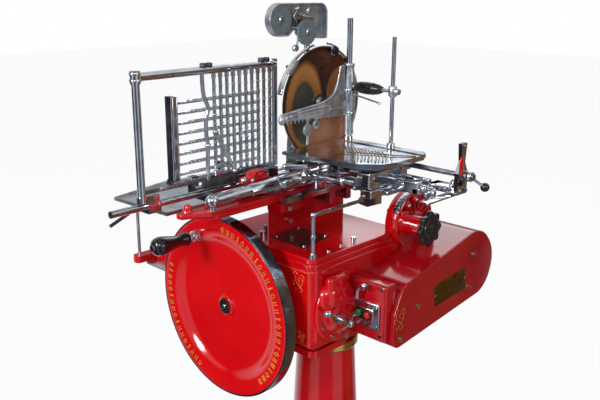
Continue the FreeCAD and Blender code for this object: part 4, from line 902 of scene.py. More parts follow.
@dataclass
class Flywheel(Assembly):
    """The dished wheel with its hub nut, its gilt ornament and the grip of its crank."""

    east: float = -173.0
    high: float = 760.0
    face: float = -230.0
    ring: float = 222.0
    spacing: float = 5.1

    def add_casting(self) -> None:
        """Turn the wheel with the soft slope into its dish."""
        casting = turned(Axis.Y, (self.east, self.face, self.high), [(12.05, 24), (60, 24), (150, 23.4),
            (166, 22.6), (175, 20.6), (182, 17.4), (188, 13.2), (194, 8.6), (200, 4.8), (206, 2.2), (212, 0.8),
            (218, 0.2), (240, 0), (243.6, 0.4), (245, 1.6), (245, 33), (230, 33), (216, 12), (210, 20), (204, 32),
            (60, 32), (46, 48), (12.05, 48)], 144)
        fit("flywheel_casting", casting, WHEEL_ENAMEL, "flywheel", ["flywheel"])

    def add_hub(self) -> None:
        """Turn the boss round the shaft and its dark nut."""
        boss = turned(Axis.Y, (self.east, self.face, self.high), [(12.6, 24.2), (32, 24.2), (29.4, 20),
            (28.4, 16.6), (26, 14.6), (20, 14), (12.6, 14.6)], 64)
        fit("wheel_boss", boss, WHEEL_ENAMEL, "flywheel")
        nut = turned(Axis.Y, (self.east, self.face, self.high), [(0, 16.4), (20, 16.4), (21.8, 13.4), (21, 10.8),
            (17.4, 9.2), (14, 9.8), (12.4, 12.4), (0, 13)])
        fit("wheel_nut", nut, BLACK_ENAMEL, "flywheel")
        stud = turned(Axis.Y, (self.east, self.face, self.high), [(0, 13.2), (6, 13), (6, 10.2), (4.2, 9),
            (0, 8.8)], 6, 0.3)
        fit("wheel_stud", stud, CHROME, "flywheel")

    def add_ornament(self) -> None:
        """Ring the wheel with gilt lozenges, bars and pearls, which leave the crank free."""
        x, y, z = self.east, self.face - 0.6, self.high + self.ring
        lozenge = bar([(x, y, z + 8), (x + 5.2, y, z), (x, y, z - 8), (x - 5.2, y, z), (x, y, z + 8)], 1.15,
            False, 3)
        bars = merged([bar([(x + side, y, z + 7.6), (x + side, y, z - 7.6)], 1.25, False, 3)
            for side in (-3.4, 3.4)])
        pearls = merged([ball((x, self.face, z + lift), (2.4, 1.2, 2.4)) for lift in (-6, 0, 6)])
        pieces = []
        for first, last in ((4, 146), (-154, -66)):
            for step in range(int((last - first) / self.spacing)):
                pattern = (lozenge, bars, pearls)[(0, 1, 1, 2)[step % 4]]
                pieces.append(copied(pattern, about((self.east, 0, self.high), Axis.Y, first
                    + step * self.spacing)))
        for pattern in (lozenge, bars, pearls):
            bpy.data.objects.remove(pattern)
        fit("wheel_gilt_ornament", pieces, GOLD_LINE, "flywheel")

    def add_grip(self) -> None:
        """Turn the black grip with its waist and its round end."""
        grip = turned(Axis.Y, (-267, -371.5, 940), [(6.05, 0), (12, 0.5), (17, 2.5), (21, 6), (24, 12), (25, 20),
            (24.6, 28), (23, 38), (20.5, 50), (17.5, 64), (15.5, 78), (15.6, 86), (17, 95), (19, 102),
            (19.2, 107), (17.5, 111), (14, 113.6), (6.05, 114)])
        fit("crank_grip_smooth", grip, BLACK_PLASTIC, "grip", ["crank_grip"])
        ferrule = turned(Axis.Y, (-267, -257.2, 940), [(6.05, 0), (11.5, 0), (12.8, 2), (12.8, 9), (15.5, 12),
            (16.5, 21), (18, 26.6), (6.05, 27)], 40)
        fit("crank_ferrule", ferrule, CHROME, "flywheel")


@dataclass
class Pedestal(Assembly):
    """The flared cast column under the machine."""

    def add_column(self) -> None:
        """Turn the column with its soft flare."""
        column = turned(Axis.Z, (0, 0, 0), [(0, 0), (260, 0), (260, 12), (257.6, 15.6), (246, 24), (222, 36.5),
            (196, 46.5), (172, 56.5), (150, 68.5), (132, 84), (120, 98.5), (115.4, 112), (112.1, 126),
            (109.7, 139), (108.2, 150), (107.7, 156), (105.6, 170), (99.6, 250), (94.3, 350), (89.1, 450),
            (83.8, 550), (78.8, 646), (74.8, 646.2), (74.8, 674.8), (0, 674.8)], 128)
        fit("pedestal_casting", column, RED_ENAMEL, "stand", ["pedestal_column"])


@dataclass
class BeamEnd(Assembly):
    """The rail beam with its tapered nose and its stop peg."""

    def add_beam(self) -> None:
        """Cast the beam in two layers and turn its peg."""
        upper = plate([(x, y, 1049) for x, y in eased([(-150, -385), (-126, -385), (-95, -318), (-95, 202),
            (-166, 202), (-166, -42), (-150, -42)], [9, 8, 30, 6, 6, 6, 4], 5)], (0, 0, 13), 3, 3)
        lower = plate([(x, y, 1038) for x, y in eased([(-150, -336), (-132, -336), (-97, -300), (-97, 202),
            (-164, 202), (-164, -42), (-150, -42)], [7, 7, 24, 6, 6, 6, 4], 5)], (0, 0, 12), 2.4, 3)
        peg = turned(Axis.Z, (-138, -355, 0), [(0, 1060), (14, 1060), (11.4, 1065), (10.2, 1072), (9.6, 1076),
            (7, 1080), (0, 1081.6)], 32)
        fit("rail_beam_casting", [upper, lower, peg], RED_ENAMEL, "stand", ["rail_beam"])


@dataclass
class Striping(Assembly):
    """Gold lines and scrolls painted on the enamel."""

    width: float = 0.55

    def add_base_lines(self) -> None:
        """Line the panels of the base's front."""
        left, right, low, high, face = -270, 84, 711, 908, -162.1
        frame = bar([(left, face, low), (right, face, low), (right, face, high), (left, face, high),
            (left, face, low)], self.width, False, 2)
        fit("front_line", frame, GOLD_LINE, "stand")

    def add_scrolls(self) -> None:
        """Paint the scrolls on the base's front and on the cover."""
        self.scroll("base_scroll", (52, -162.1, 874), (1, 0, 0), 1)
        self.scroll("base_low_scroll", (62, -162.1, 728), (1, 0, 0), 0.55)
        self.scroll("cover_scroll", (236.3, 17, 775), (0, 1, 0), 1.15)

    def scroll(self, name: str, spot: Point, across: Point, size: float) -> None:
        """Paint a scroll of leaves.

        Args:
            name: Name of the piece.
            spot: Its middle in millimetres.
            across: The direction to its right.
            size: Its size against one of about 40 mm.
        """
        strands = [[(-14, -22), (-4, -14), (8, -6), (14, 6), (8, 16), (-2, 14), (-4, 6), (3, 4)], [(-12, 18),
            (-16, 8), (-8, -2), (2, -6), (12, -16), (8, -24), (0, -22)], [(2, 20), (10, 26), (18, 20), (16, 10)],
            [(-16, -8), (-22, -2), (-18, 6)], [(-6, 24), (-12, 30), (-20, 26), (-18, 20)]]
        pieces = []
        for strand in strands:
            path = [tuple(s + size * (a * u + b * v) for s, u, v in zip(spot, across, (0, 0, 1))) for a,
                b in strand]
            pieces.append(bar(path, self.width, True, 2))
        fit(name, pieces, GOLD_LINE, "stand")


@dataclass
class DriveCase(Assembly):
    """The case on the side: its shell, its cover, the switch housing and the round bearing dome."""

    outline: tuple = ((-10, 694), (-6, 790), (30, 862), (388, 940), (470, 850), (430, 742))
    radii: tuple = (26, 8, 40, 90, 92, 80)
    left: float = 100.0
    right: float = 232.0
    wall: float = 5.0

    def add_shell(self) -> None:
        """Bend the sheet round the case and close it against the base, with the switch housing in front."""
        path = eased(self.outline, self.radii)
        shell = plate([(self.left, y, z) for y, z in path], (self.right - self.left, 0, 0), 0)
        hollow(shell, self.wall, self.right - self.left - 6)
        soften(shell, 0.8)
        housing = block((105, -28, 716), (222, 20, 872), 9, 5)
        rim = plate([(x, -28.6, z) for x, z in eased([(112, 722), (216, 722), (216, 866), (112, 866)],
            [12, 12, 12, 12])], (0, 2, 0))
        fit("case_body", [shell, housing, rim], CASE_ENAMEL, "stand", ["drive_case"])

    def add_cover(self) -> None:
        """Lay the flat cover on the case."""
        path = eased(self.outline, self.radii)
        cover = plate([(self.right, y, z) for y, z in path], (4, 0, 0), 1.6, 3)
        fit("case_cover_plate", cover, CASE_ENAMEL, "stand", ["case_cover"])

    def add_plate(self) -> None:
        """Rivet a bare brass plate to the cover."""
        path = eased([(163, 823), (311, 838), (319, 774), (170, 762)], [5, 5, 5, 5], 4)
        brass = plate([(236, y, z) for y, z in path], (1.2, 0, 0), 0.4)
        fit("bare_brass_plate", brass, PLATE_BRASS, "stand")
        rivets = [ball((237.2, y, z), (1.2, 3.2, 3.2)) for y, z in ((171, 793), (312, 806))]
        fit("plate_rivets", rivets, CHROME, "stand")

    def add_dome(self) -> None:
        """Turn the domed bearing cover and cut it flat where the switch housing meets it."""
        dome = turned(Axis.X, (100, -62, 796), [(0, 31), (14, 30.6), (28, 29.4), (40, 27), (50, 23.2), (58, 18.4),
            (64, 13.2), (68, 9.8), (72, 8.2), (90, 8), (93, 6.8), (94, 4), (94, 0), (0, 0)], 72, 0.6)
        dome = trimmed(dome, (100, -34, 796), (0, 1, 0))
        dome = trimmed(dome, (100, -156, 796), (0, -1, 0))
        soften(dome, 0.5)
        boss = turned(Axis.X, (106, -112, 790), [(0, 0), (15, 0), (15, 22), (13, 27.6), (0, 27.6)], 32, 0.6)
        shoulder = block((100, -126, 850), (126, -58, 893), 11, 5)
        bulge = ball((104, -104, 836), (29, 40, 40))
        fit("bearing_dome_cover", [dome, boss, shoulder, bulge], RED_ENAMEL, "stand",
            ["bearing_dome"])

    def add_clutch(self) -> None:
        """Bend the hooked clutch lever."""
        hook = bar([(168, -50, 867), (156, -50, 862), (149, -50, 850), (147.6, -50, 834)], 4.6, True, 8)
        tip = ball((147.6, -50, 832), (5.4, 5, 6.2))
        hub = turned(Axis.Y, (168, 0, 865), [(0, -57), (6, -57), (8.4, -55), (8.4, -45), (5, -44.4), (5, -28.6),
            (0, -28.6)], 32, 0.5)
        fit("clutch_hooked_lever", [hook, tip, hub], CHROME, "clutch", ["clutch_lever"])

    def add_switch(self) -> None:
        """Frame the two buttons with a raised bezel over a dark plate, which is painted shade of the recess round
        them.
        """
        # Painted shade: a dark plate stands for the shaded recess.
        ground = plate([(x, -31.2, z) for x, z in eased([(128, 769), (186, 769), (186, 799), (128, 799)],
            [6, 6, 6, 6], 4)], (0, 1, 0), 0.3)
        fit("switch_painted_shade", ground, PAINTED_RECESS_SHADE, "stand")
        bezel = bar([(x, -33.4, z) for x, z in ((130, 768), (184, 768), (188, 772), (188, 796), (184, 800),
            (130, 800), (126, 796), (126, 772), (130, 768))], 1.8, False, 3)
        rim = bar([(x, -33.2, z) for x, z in ((112, 750), (202, 750), (206, 754), (206, 814), (202, 818),
            (112, 818), (108, 814), (108, 754), (112, 750))], 1.6, False, 3)
        feet = [ball((x, -33, z), (3.4, 1.4, 3.4)) for x, z in ((116, 758), (198, 758), (116, 810), (198, 810))]
        fit("switch_bezel_set", [bezel, rim] + feet, CHROME, "stand")


@dataclass
class ThicknessGauge(Assembly):
    """The cast housing of the slice thickness gauge and its lobed knob."""

    north: float = 244.0
    high: float = 958.0
    knob: Point = (0.0, 196.0, 966.0)
    lugs: tuple = ((282, 1010), (304, 966), (238, 1022), (206, 1012))

    def add_housing(self) -> None:
        """Turn the drum, rib its face and add the knob's sleeve."""
        drum = turned(Axis.X, (0, self.north, self.high), [(0, 66), (80, 66), (84, 68), (86, 72), (86, 100),
            (84, 105), (79, 108), (74, 107), (70, 103), (36, 104), (32, 108), (30, 114), (24, 119), (0, 120)], 72,
            0.6)
        drum = trimmed(drum, (80, self.north, 892), (0, 0, -1))
        soften(drum, 0)
        spoke = block((101, self.north - 3.5, self.high + 20), (111, self.north + 3.5, self.high + 78), 2.2, 3)
        ribs = [copied(spoke, about((0, self.north, self.high), Axis.X, turn))
            for turn in (-62, -38, -14, 10, 34, 58, 82)]
        bpy.data.objects.remove(spoke)
        foot = block((57, 176, 932), (118, 206, 1000), 7, 4)
        sleeve = turned(Axis.X, self.knob, [(0, 104), (33, 104), (33, 112), (28, 118), (26, 124), (26, 168),
            (23, 173), (0, 173)], 40, 0.6)
        lumps = [ball((108, y, z), (8, 13, 13)) for y, z in self.lugs]
        fit("gauge_casting", [drum, foot, sleeve] + ribs + lumps, RED_ENAMEL, "stand",
            ["gauge_housing"])
        heads = [ball((115, y, z), (4, 5, 5)) for y, z in (*self.lugs, (262, 930))]
        fit("gauge_bolts", heads, CHROME, "stand")

    def add_arc(self) -> None:
        """Lay the bright index strip over the drum's edge."""
        slats = []
        slat = block((88, self.north - 6.4, self.high + 84), (107, self.north + 6.4, self.high + 88.4))
        for turn in range(-6, 66, 8):
            slats.append(copied(slat, about((0, self.north, self.high), Axis.X, float(turn))))
        bpy.data.objects.remove(slat)
        fit("gauge_index_strip", slats, CHROME, "stand")

    def add_knob(self) -> None:
        """Mould the lobed knob and turn its shaft."""
        outline, steps, lobes, lobe_mm, middle_mm = [], 96, 8, 4.2, 45.5
        for step in range(steps):
            angle = step * 2 * math.pi / steps
            reach = middle_mm + lobe_mm * math.cos(lobes * angle)
            outline.append((182, self.knob[1] + reach * math.sin(angle), self.knob[2] + reach * math.cos(angle)))
        wheel = plate(outline, (14, 0, 0), 3.4, 4)
        cap = turned(Axis.X, self.knob, [(0, 170), (18, 174), (20, 176), (20, 183), (34, 184), (34, 194),
            (33, 198), (29, 199.6), (22, 197), (12, 196.4), (9, 199.6), (0, 200)], 40)
        shaft = turned(Axis.X, self.knob, [(0, 112), (8, 112), (8, 176), (0, 176)], 24)
        fit("thickness_knob_lobed", [wheel, cap, shaft], KNOB_PLASTIC, "knob", ["thickness_knob"])


@dataclass
class CarriageTrim(Assembly):
    """Fittings on the carriage and the fluted mirror of the table's top."""

    pivot: Point = (-46.0, -40.0, 0.0)
    screw: Point = (0.0, 127.0, 1150.0)

    def add_table_flutes(self) -> None:
        """Lay curved flutes, a black strip of painted shade beside each, and the slim ridge on the table's top."""
        flutes, painted_shades = [], []
        east, south, top = 0.677, 0.736, 1180.5
        for index, length in enumerate((162, 158, 148, 138, 128, 117)):
            start = (-2 + 21 * index, 66 + 2.4 * index)
            for pile, aside, radius in ((flutes, 0, 2.6), (painted_shades, 8, 1.5)):
                points = []
                for share, bow in ((0, 0), (0.3, 5), (0.65, 6), (1, 0)):
                    run, side = length * share, bow + aside
                    points.append((start[0] + east * run + south * side, start[1] - south * run + east * side, top))
                pile.append(bar(points, radius, True, 5))
        fit("table_flutes", flutes, CHROME, "table")
        # Painted shade: the black strips beside the flutes stand for their shaded sides.
        fit("table_flute_painted_shade", painted_shades, BLACK_ENAMEL, "table")
        ridge = bar([(30, -3, 1182.6), (84, 28, 1183), (139, 57, 1183), (170, 72, 1182.6), (203, 100, 1181.4)],
            1.5, True, 4)
        fit("table_ridge", ridge, PLATE_BRASS, "table")

    def add_frame(self) -> None:
        """Build the frame of bevelled bars."""
        bars = [block(low, high, 2.4, 3) for low, high in (((-94, -88, 1083), (-70, 58, 1100)), ((-72, -62, 1100),
            (-38, 150, 1113)), ((-60, 0, 1066.4), (-42, 40, 1102)), ((-72, -30, 1104), (165, -8, 1120)),
            ((-72, 96, 1104), (256, 120, 1120)), ((140, -30, 1104), (165, 120, 1120)), ((130, -32, 1104),
            (168, 34, 1142)), ((-38, 36, 1104), (256, 60, 1134)), ((-38, 84, 1104), (256, 97, 1134)),
            ((240, 36, 1104), (262, 145, 1120)), ((240, 104, 1104), (318, 145, 1120)), ((-72, 113, 1108),
            (-54, 141, 1141)))]
        rounds = [turned(Axis.X, self.screw, [(7.06, -72), (13, -72), (14, -70), (14, -56), (13, -54),
            (7.06, -54)], 40), turned(Axis.Z, self.pivot, [(5.1, 1112), (12, 1112), (9, 1116), (9, 1138),
            (5.1, 1138)], 32), turned(Axis.X, (0, -22, 1129), [(0, 98), (11, 98), (14, 101), (14, 131), (0, 132)],
            40)]
        fit("carriage_frame_bars", bars + rounds, CHROME, "carriage", ["carriage_frame"])
        apron = block((-199, -262, 1090), (-187, -66, 1111), 2, 3)
        fit("carriage_apron", apron, GREY_IRON, "carriage")

    def add_sleeve(self) -> None:
        """Turn the long tapered sleeve on the guide rod and the red bracket beside it."""
        sleeve = turned(Axis.Y, (-100, 0, 1087), [(17.3, -188), (18, -188), (18.6, -186), (20.4, -140),
            (22.2, -101), (22.4, -97), (21.6, -95), (22.4, -93), (22.6, -60), (22.6, 50), (22, 60), (17.3, 60)],
            64)
        fit("carriage_sleeve", sleeve, TABLE_STEEL, "carriage")
        outline = eased([(-170, 1096), (-171, 1108), (-148, 1112), (-138, 1124), (-110, 1127), (-90, 1120),
            (-84, 1096)], [3, 5, 6, 7, 7, 7, 3], 5)
        bracket = plate([(-160, y, z) for y, z in outline], (30, 0, 0), 3.4, 3)
        lumps = [ball((-131, y, z), (5, 8, 8)) for y, z in ((-118, 1115), (-98, 1108))]
        fit("red_bracket_set", [bracket] + lumps, RED_ENAMEL, "carriage")
        knuckles = [ball((-140, -170, 1106), (9, 9, 9)), ball((-129, -148, 1104), (4, 6, 6))]
        fit("bracket_knuckles", knuckles, CHROME, "carriage")

    def add_fittings(self) -> None:
        """Add the flared guide, the round nuts and the flat bars at the carriage's right."""
        flare = turned(Axis.X, (0, -52, 1126), [(0, 100), (9, 100.5), (11.5, 103), (12, 112), (13.5, 126),
            (15, 136), (15.5, 140), (0, 141)], 40)
        nut = ball((98, -54, 1127), (14, 14, 14))
        globe = turned(Axis.Z, (262, 76, 0), [(0, 1080), (6, 1080.5), (9, 1083), (9.5, 1086), (8, 1088.5),
            (13, 1090), (17.5, 1094), (19.5, 1101), (19, 1108), (15.5, 1114), (9, 1118.4), (0, 1119.6)], 40)
        bars = [block((140, -52, 1120), (178, 59, 1156), 2.4, 3), block((146, -46, 1094), (180, 92, 1114), 2, 3),
            block((176.6, -54, 1152), (180.6, 59, 1157.6), 1.4), block((186, -4, 1098), (198, 149, 1108), 2),
            block((288, 2, 1097), (314, 149, 1102.5), 1.6)]
        bolts = [turned(Axis.Z, (x, y, 1119), [(0, 0), (7, 0), (7, 4), (5, 6.5), (0, 7)], 24) for x,
            y in ((300, 118), (222, 108), (-60, 30))]
        ears = [ball(spot, (9.5, 9.5, 9.5)) for spot in ((300, 128, 1126), (266, 48, 1120))]
        fit("carriage_fittings", [flare, nut, globe] + bars + bolts + ears, CHROME, "carriage")

    def add_end_plate(self) -> None:
        """Set a red disc and two nuts in the end plate."""
        disc = ball((328.4, 111, 1174), (3.4, 8.6, 26))
        fit("end_plate_cheek", disc, RED_ENAMEL, "carriage")
        nuts = [turned(Axis.X, (328, y, z), [(0, 0), (6, 0), (6, 3), (4, 5), (0, 5)], 6) for y, z in ((108, 1112),
            (134, 1112), (118, 1222))]
        fit("end_plate_nuts", nuts, CHROME, "carriage")

    def add_lever(self) -> None:
        """Cast the thick table lever with its black ball."""
        outline = eased([(-60, -110), (-49, -117), (-14, -64), (-9, 6), (-34, 28), (-60, -20)],
            [6, 7, 24, 10, 14, 20], 8)
        body = plate([(x, y, 1138.6) for x, y in outline], (0, 0, 15), 5, 4)
        pin = turned(Axis.Z, self.pivot, [(0, 1105.2), (5, 1105.2), (5, 1140), (0, 1140)], 24)
        cap = turned(Axis.Z, self.pivot, [(0, 1153), (9, 1153), (9, 1156), (6, 1158), (0, 1158.4)], 32)
        arm = bar([(-22, 8, 1143), (4, 12, 1136)], 4, False)
        fit("table_lever_cast", [body, pin, cap, arm], CHROME, "lever", ["table_lever"])
        fit("table_lever_ball", ball((8, 12, 1133), (12, 12, 12)), BLACK_PLASTIC, "lever")

    def add_crank_ball(self) -> None:
        """Turn the feed crank's hub, its arm and its black ball."""
        hub = turned(Axis.X, self.screw, [(7.05, 339.6), (12, 339.6), (13, 341), (13, 348), (11, 351.4),
            (7.05, 351.4)], 40)
        arm = bar([(347.6, 134, 1144.6), (353, 150, 1132), (362, 163, 1121.6)], 3.6)
        fit("feed_crank_set", [hub, arm], CHROME, "screw", ["feed_crank"])
        fit("feed_crank_ball", ball((364.4, 165.4, 1119.8), (11.4, 11.4, 11.4)), BLACK_PLASTIC, "screw")


@dataclass
class MeatClamp(Assembly):
    """The cast clamp with its long sleeve on the post."""

    east: float = -55.0
    north: float = 140.0
    teeth: int = 16
    tooth_pitch: float = 14.0

    def add_sleeve(self) -> None:
        """Turn the long sleeve and add the arm to the guide post."""
        sleeve = turned(Axis.Z, (self.east, self.north, 0), [(8.06, 1196), (12, 1196), (14, 1198), (14.4, 1206),
            (13.4, 1212), (13.8, 1240), (16, 1258), (18, 1280), (18.6, 1310), (17.6, 1338), (15.2, 1360),
            (13.2, 1374), (13, 1379), (14.6, 1381), (14.6, 1387), (13, 1389.6), (8.06, 1389.6)], 56)
        lug = block((-61, 116, 1250), (-49, 136, 1292), 3, 3)
        cross = turned(Axis.X, (0, self.north, 1329), [(0, -46), (5, -46), (5, 102), (0, 102)], 24)
        seat = turned(Axis.Z, (93, self.north, 0), [(5.56, 1315), (9, 1315), (11, 1318), (11.4, 1329), (11, 1340),
            (9, 1343), (5.56, 1343)], 40)
        cap = turned(Axis.X, (0, self.north, 1329), [(0, 101), (9, 101), (9, 111), (7, 114.4), (0, 114.8)], 32)
        fit("clamp_sleeve_set", [sleeve, lug, cross, seat, cap], SATIN_NICKEL, "clamp",
            ["clamp_sleeve"])
        collars = [turned(Axis.Z, (self.east, self.north, z), [(8.4, 0), (reach, 0), (reach + 1, 2),
            (reach + 1, 8), (reach, 10), (8.4, 10)]) for z, reach in ((1250, 16.4), (1312, 19.4))]
        fit("clamp_collars", collars, CHROME, "clamp")

    def add_web(self) -> None:
        """Cast the swept web, the toothed bar, the slotted loop and the hanging disc."""
        x = self.east - 3
        sweep = eased([(-120, 1262), (-126, 1272), (-118, 1281), (-41, 1289), (15, 1294), (48, 1300), (76, 1312),
            (90, 1332), (99, 1358), (106, 1386), (121, 1386), (121, 1248), (60, 1256)],
            [3, 4, 4, 12, 20, 20, 12, 16, 20, 4, 4, 6, 12], 5)
        web = plate([(x, y, z) for y, z in sweep], (6, 0, 0), 1.6, 3)
        bars = block((-61, -122, 1263), (-49, 118, 1276), 2.4, 3)
        rib = bar([(x + 5, y, z) for y, z in ((-116, 1279), (-41, 1287), (15, 1292), (48, 1298), (74, 1311),
            (88, 1332), (97, 1358), (103, 1384))], 3.4)
        loop = bar([(x + 7, y, z) for y, z in ((-66, 1279), (12, 1284), (48, 1286), (62, 1279), (58, 1270),
            (30, 1267), (-50, 1267), (-68, 1270), (-66, 1279))], 2.7)
        knuckles = [ball((x + 3, y, z), radii) for y, z, radii in ((-116, 1266, (9, 9, 12)), (-102, 1268,
            (8, 10, 9)), (-86, 1272, (7, 9, 8)))]
        hang = [turned(Axis.X, (-58, -22, 1230), [(0, 0), (15.5, 0), (16, 1), (16, 5), (14.6, 6.4), (0, 6.6)],
            40), bar([(-55, -22, 1264), (-55, -22, 1191.6)], 3.4, False), turned(Axis.X, (-58, 10, 1240), [(5, 0),
            (11, 0), (11.4, 1), (11.4, 4), (10, 5), (5, 5)], 32), bar([(-55, 10, 1264), (-55, 10, 1250)], 3,
            False)]
        teeth = [turned(Axis.Z, (self.east, -110 + index * self.tooth_pitch, 1252), [(0, 0), (1.2, 0), (3.4, 12),
            (0, 12)], 12) for index in range(self.teeth)]
        fit("clamp_casting", [web, bars, rib, loop] + knuckles + hang + teeth, SATIN_NICKEL, "clamp",
            ["clamp_bar"])

    def add_release(self) -> None:
        """Bend the thin release lever."""
        lever = bar([(-38, 130, 1310), (-10, 126, 1308), (58, 128, 1296)], 2.4, True, 5)
        tip = ball((60, 128, 1295.6), (5, 3.6, 3.6))
        fit("clamp_release_set", [lever, tip], CHROME, "clamp")


@dataclass
class NeedleFrameTrim(Assembly):
    """The needle bars, the cranked strip, the brace, the bolts and the collars of the needle frame."""

    bars: int = 10
    bar_pitch: float = 21.5
    beads: int = 10
    bead_pitch: float = 24.0

    def add_bars(self) -> None:
        """Turn one needle bar with its collars and prongs and set ten of them."""
        pieces = [turned(Axis.Z, (-204, -208, 0), [(0, 1118.2), (4.6, 1118.2), (4.6, 1366), (6.2, 1367),
            (6.2, 1376), (4.4, 1377.8), (0, 1377.8)], 20)]
        for row in range(self.beads):
            pieces.append(ball((-203, -208, 1131 + row * self.bead_pitch), (6.4, 5.6, 3.4)))
        pattern = merged(pieces)
        bars = [copied(pattern, moved((0, column * self.bar_pitch, 0))) for column in range(self.bars)]
        bpy.data.objects.remove(pattern)
        fit("needle_bars_beaded", bars, CAST_ALUMINIUM, "carriage", ["needle_bars"])

    def add_strips(self) -> None:
        """Bend the cranked strip and the brace and set the knuckles and the collars."""
        strip = bar([(-193, y, z) for y, z in ((-254, 1380), (-254, 1330), (-240, 1306), (-236, 1292),
            (-246, 1270), (-246, 1222), (-240, 1200), (-244, 1170), (-244, 1112))], 5.4)
        brace = bar([(-188, -218, 1231), (-182, -199, 1190), (-176, -179, 1146), (-172, -170, 1126)], 5.6)
        knuckles = [ball(spot, (8, 8, 8)) for spot in ((-188, -219, 1233), (-173, -171, 1127),
            (-194, -240, 1200))]
        collars = [turned(Axis.Z, (-204, -440, z), [(10.2, 0), (13.8, 0), (14.4, 1.2), (14.4, 5), (13.8, 6.2),
            (10.2, 6.2)], 40) for z in (1377, 1393)]
        fit("needle_frame_trim", [strip, brace] + knuckles + collars, CHROME, "carriage")

    def add_bolts(self) -> None:
        """Set the knurled bolts on the top bar."""
        caps = [turned(Axis.Z, (-204, y, 1395), [(0, 0), (8.4, 0), (9.1, 1.4), (9.1, 9), (7.6, 11), (0, 11.4)],
            18) for y in (-240, -222, -44, -26)]
        fit("top_bar_bolts", caps, GREY_IRON, "carriage")

    def add_handle(self) -> None:
        """Bend the black handle at the end of the slide rail."""
        handle = bar([(-232, -514, 1040), (-231, -490, 1050), (-230, -462, 1061)], 4.4, True, 5)
        fit("rail_handle", handle, BLACK_PLASTIC, "stand")


@dataclass
class ForkTrim(Assembly):
    """Flat slats with spikes on the stacker fork and its split end plate."""

    first_high: float = 1128.0
    rows: int = 8
    pitch: float = 26.0
    spikes: int = 21
    spike_pitch: float = 12.6

    def add_slats(self) -> None:
        """Build the slats, the spikes and the edges of the end plate."""
        slat = block((-240, -308, self.first_high - 4.6), (-236, -19.6, self.first_high + 4.6), 1.2)
        bare()
        bpy.ops.mesh.primitive_cone_add(vertices=6, radius1=2.6 * MM, radius2=0.6 * MM, depth=9 * MM,
            location=(-0.2315, -0.290, self.first_high * MM), rotation=(0, math.pi / 2, 0))
        spike = bpy.context.object
        settle(spike)
        pieces = []
        for row in range(self.rows):
            pieces.append(copied(slat, moved((0, 0, row * self.pitch))))
            for column in range(self.spikes):
                pieces.append(copied(spike, moved((0, column * self.spike_pitch, row * self.pitch))))
        for pattern in (slat, spike):
            bpy.data.objects.remove(pattern)
        fit("fork_slats", pieces, CHROME, "fork")
        edges = [block((-238, y, 1114), (-230.6, y + 4.4, 1326), 1.4) for y in (-319, -306.4)]
        fit("fork_edges", edges, CHROME, "fork")


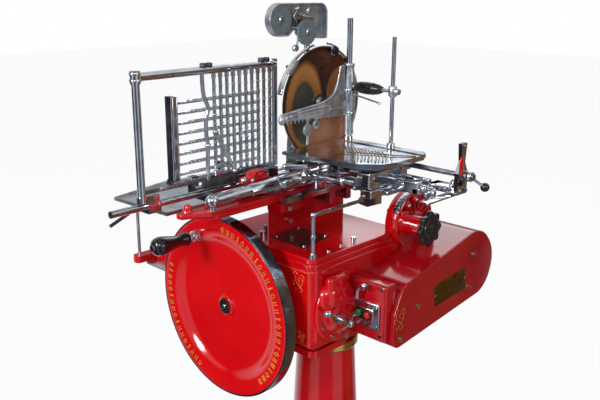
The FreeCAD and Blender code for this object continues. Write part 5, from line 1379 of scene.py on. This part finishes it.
@dataclass
class KnifeTrim(Assembly):
    """The guard's strap with its black knob and the hooded sharpener."""

    north: float = 65.0
    high: float = 1288.0

    def spot(self, x: float, reach: float, degrees: float) -> Point:
        """A point at a distance from the knife's axis, turned from the top towards the back."""
        turn = math.radians(degrees)
        return (x, self.north + reach * math.sin(turn), self.high + reach * math.cos(turn))

    def add_strap(self) -> None:
        """Bend the strap in front of the guard and turn its knob."""
        path = [self.spot(-90, 156, turn) for turn in (9, 12, 15, 18)] + [(-82, 112, 1436), (-76, 107, 1428)]
        strap = bar(path, 3, True, 5)
        tail = bar([(-76, 106, 1422), (-76, 122, 1414), (-76, 140, 1402)], 3.2, True, 5)
        ring = turned(Axis.X, (-80, 104, 1424), [(0, 0), (13, 0), (14, 1.5), (14, 4), (13, 5), (0, 5)], 40)
        fit("guard_strap_set", [strap, tail, ring], CHROME, "stand")
        knob = turned(Axis.X, (-75.4, 104, 1424), [(0, 0), (11.5, 0), (12, 3), (10, 6), (4, 7.6), (0, 8)], 40)
        fit("guard_knob", knob, BLACK_PLASTIC, "stand")

    def add_guard(self) -> None:
        """Roll the guard's band, which narrows towards the top, and its arm."""
        first, last, count, face, widest, taper = -77, -11.2, 34, -85, 15.6, 8.6
        inner, outer = [], []
        for step in range(count + 1):
            turn = first + (last - first) * step / count
            wide = widest - taper * step / count
            for pile, reach in ((inner, 153), (outer, 157.4)):
                pile.append((self.spot(face - wide, reach, turn), self.spot(face, reach, turn)))
        mesh = bpy.data.meshes.new("guard_band")
        verts = [corner for (a, b), (d, c) in zip(inner, outer) for corner in (a, b, c, d)]
        faces = [(4 * k + a, 4 * k + b, 4 * k + 4 + b, 4 * k + 4 + a) for k in range(count) for a, b in ((0, 1),
            (1, 2), (2, 3), (3, 0))]
        faces += [(0, 1, 2, 3), tuple(4 * count + a for a in (3, 2, 1, 0))]
        mesh.from_pydata([[v * MM for v in vert] for vert in verts], [], faces)
        band = bpy.data.objects.new("guard_band", mesh)
        bpy.context.scene.collection.objects.link(band)
        settle(band)
        soften(band, 0.8)
        arm = bar([(-130, 31, 1302), (-112, -14, 1350), (-97, -53, 1392)], 5)
        shoe = plate([self.spot(-82.6, reach, turn) for reach, turn in ((147, -56), (160, -56), (161, -48),
            (160, -40), (147, -40), (146, -48))], (4.6, 0, 0), 1.4)
        fit("knife_guard_band", [band, arm], CHROME, "stand", ["knife_guard"])
        fit("guard_shoe", shoe, SATIN_NICKEL, "stand")

    def add_hood(self) -> None:
        """Cast the rounded hood over the two stones."""
        outline = eased([(-118, 1549), (92, 1547), (92, 1456), (62, 1456), (36, 1481), (-34, 1481), (-52, 1467),
            (-118, 1467)], [41, 26, 7, 8, 10, 10, 12, 40], 12)
        hood = plate([(-112, y, z) for y, z in outline], (20, 0, 0), 0)
        hollow(hood, 4.2, 17)
        soften(hood, 1.3, 3)
        fit("sharpener_hood", hood, SATIN_NICKEL, "sharpener", ["sharpener_head"])

    def add_bracket(self) -> None:
        """Build the bearings, the cast bridge between the stones, the arm and the stay."""
        bearings = [turned(Axis.X, (0, -77, 1508), [(0, -110), (9, -110), (9, -105.5), (0, -105.5)], 32),
            turned(Axis.X, (0, -77, 1508), [(0, -106), (5, -106), (5, -94.6), (9, -94.6), (9, -92.6), (6, -91.4),
            (0, -91)], 32), turned(Axis.X, (0, -3, 1476), [(0, -110), (11, -110), (11, -82.9), (0, -82.9)], 32),
            turned(Axis.X, (0, -3, 1476), [(0, -83.4), (5, -83.4), (5, -74), (8, -74), (8, -72), (5.5, -70.6),
            (0, -70.2)], 32)]
        outline = eased([(-39, 1515), (-26, 1532), (-16, 1523), (8, 1521), (37, 1508), (24, 1494), (6, 1490),
            (-25, 1500)], [4, 4, 5, 8, 4, 8, 8, 6], 4)
        bridge = plate([(-96, y, z) for y, z in outline], (6, 0, 0), 2.2, 3)
        ribs = [bar([(-89, -30, 1524), (-88, -12, 1514), (-88, 14, 1514), (-89, 32, 1508)], 3, True, 5),
            ball((-90, 14, 1528), (6, 7, 9)), ball((-92, -22, 1534), (5, 9, 6))]
        web = block((-110.5, -14, 1474), (-94, 10, 1512), 3, 3)
        arm = block((-148, 50, 1473), (-110, 80, 1487), 4, 3)
        post = turned(Axis.Z, (-142, self.north, 0), [(8.06, 1440), (13, 1440), (15, 1443), (15, 1497),
            (13, 1500), (8.06, 1500)], 40)
        fit("sharpener_bearings", bearings + [bridge, web, arm, post] + ribs, CHROME, "sharpener")
        stay = bar([(-92, -16, 1490), (-90, -20, 1460), (-88, -29, 1441)], 2.8)
        fork = bar([(-98, -6, 1484), (-96, -12, 1458), (-90, -27, 1443)], 2)
        end = turned(Axis.X, (-94, -31, 1437), [(0, 0), (8.6, 0), (9, 2), (9, 7), (7, 9.4), (0, 9.8)], 32)
        fit("sharpener_stay_set", [stay, fork, end], CHROME, "sharpener")


def main() -> None:
    """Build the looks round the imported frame."""
    logging.basicConfig(level=logging.INFO, format="%(name)s: %(message)s")
    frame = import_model()
    Studio().build()
    for finish, names in CAD_FINISHES:
        dress(frame["nodes"], finish, *names.split())
    for group in (Flywheel, Pedestal, BeamEnd, Striping, DriveCase, ThicknessGauge, CarriageTrim, MeatClamp,
                  NeedleFrameTrim, ForkTrim, KnifeTrim):
        group().build()


if __name__ == "__main__":
    main()
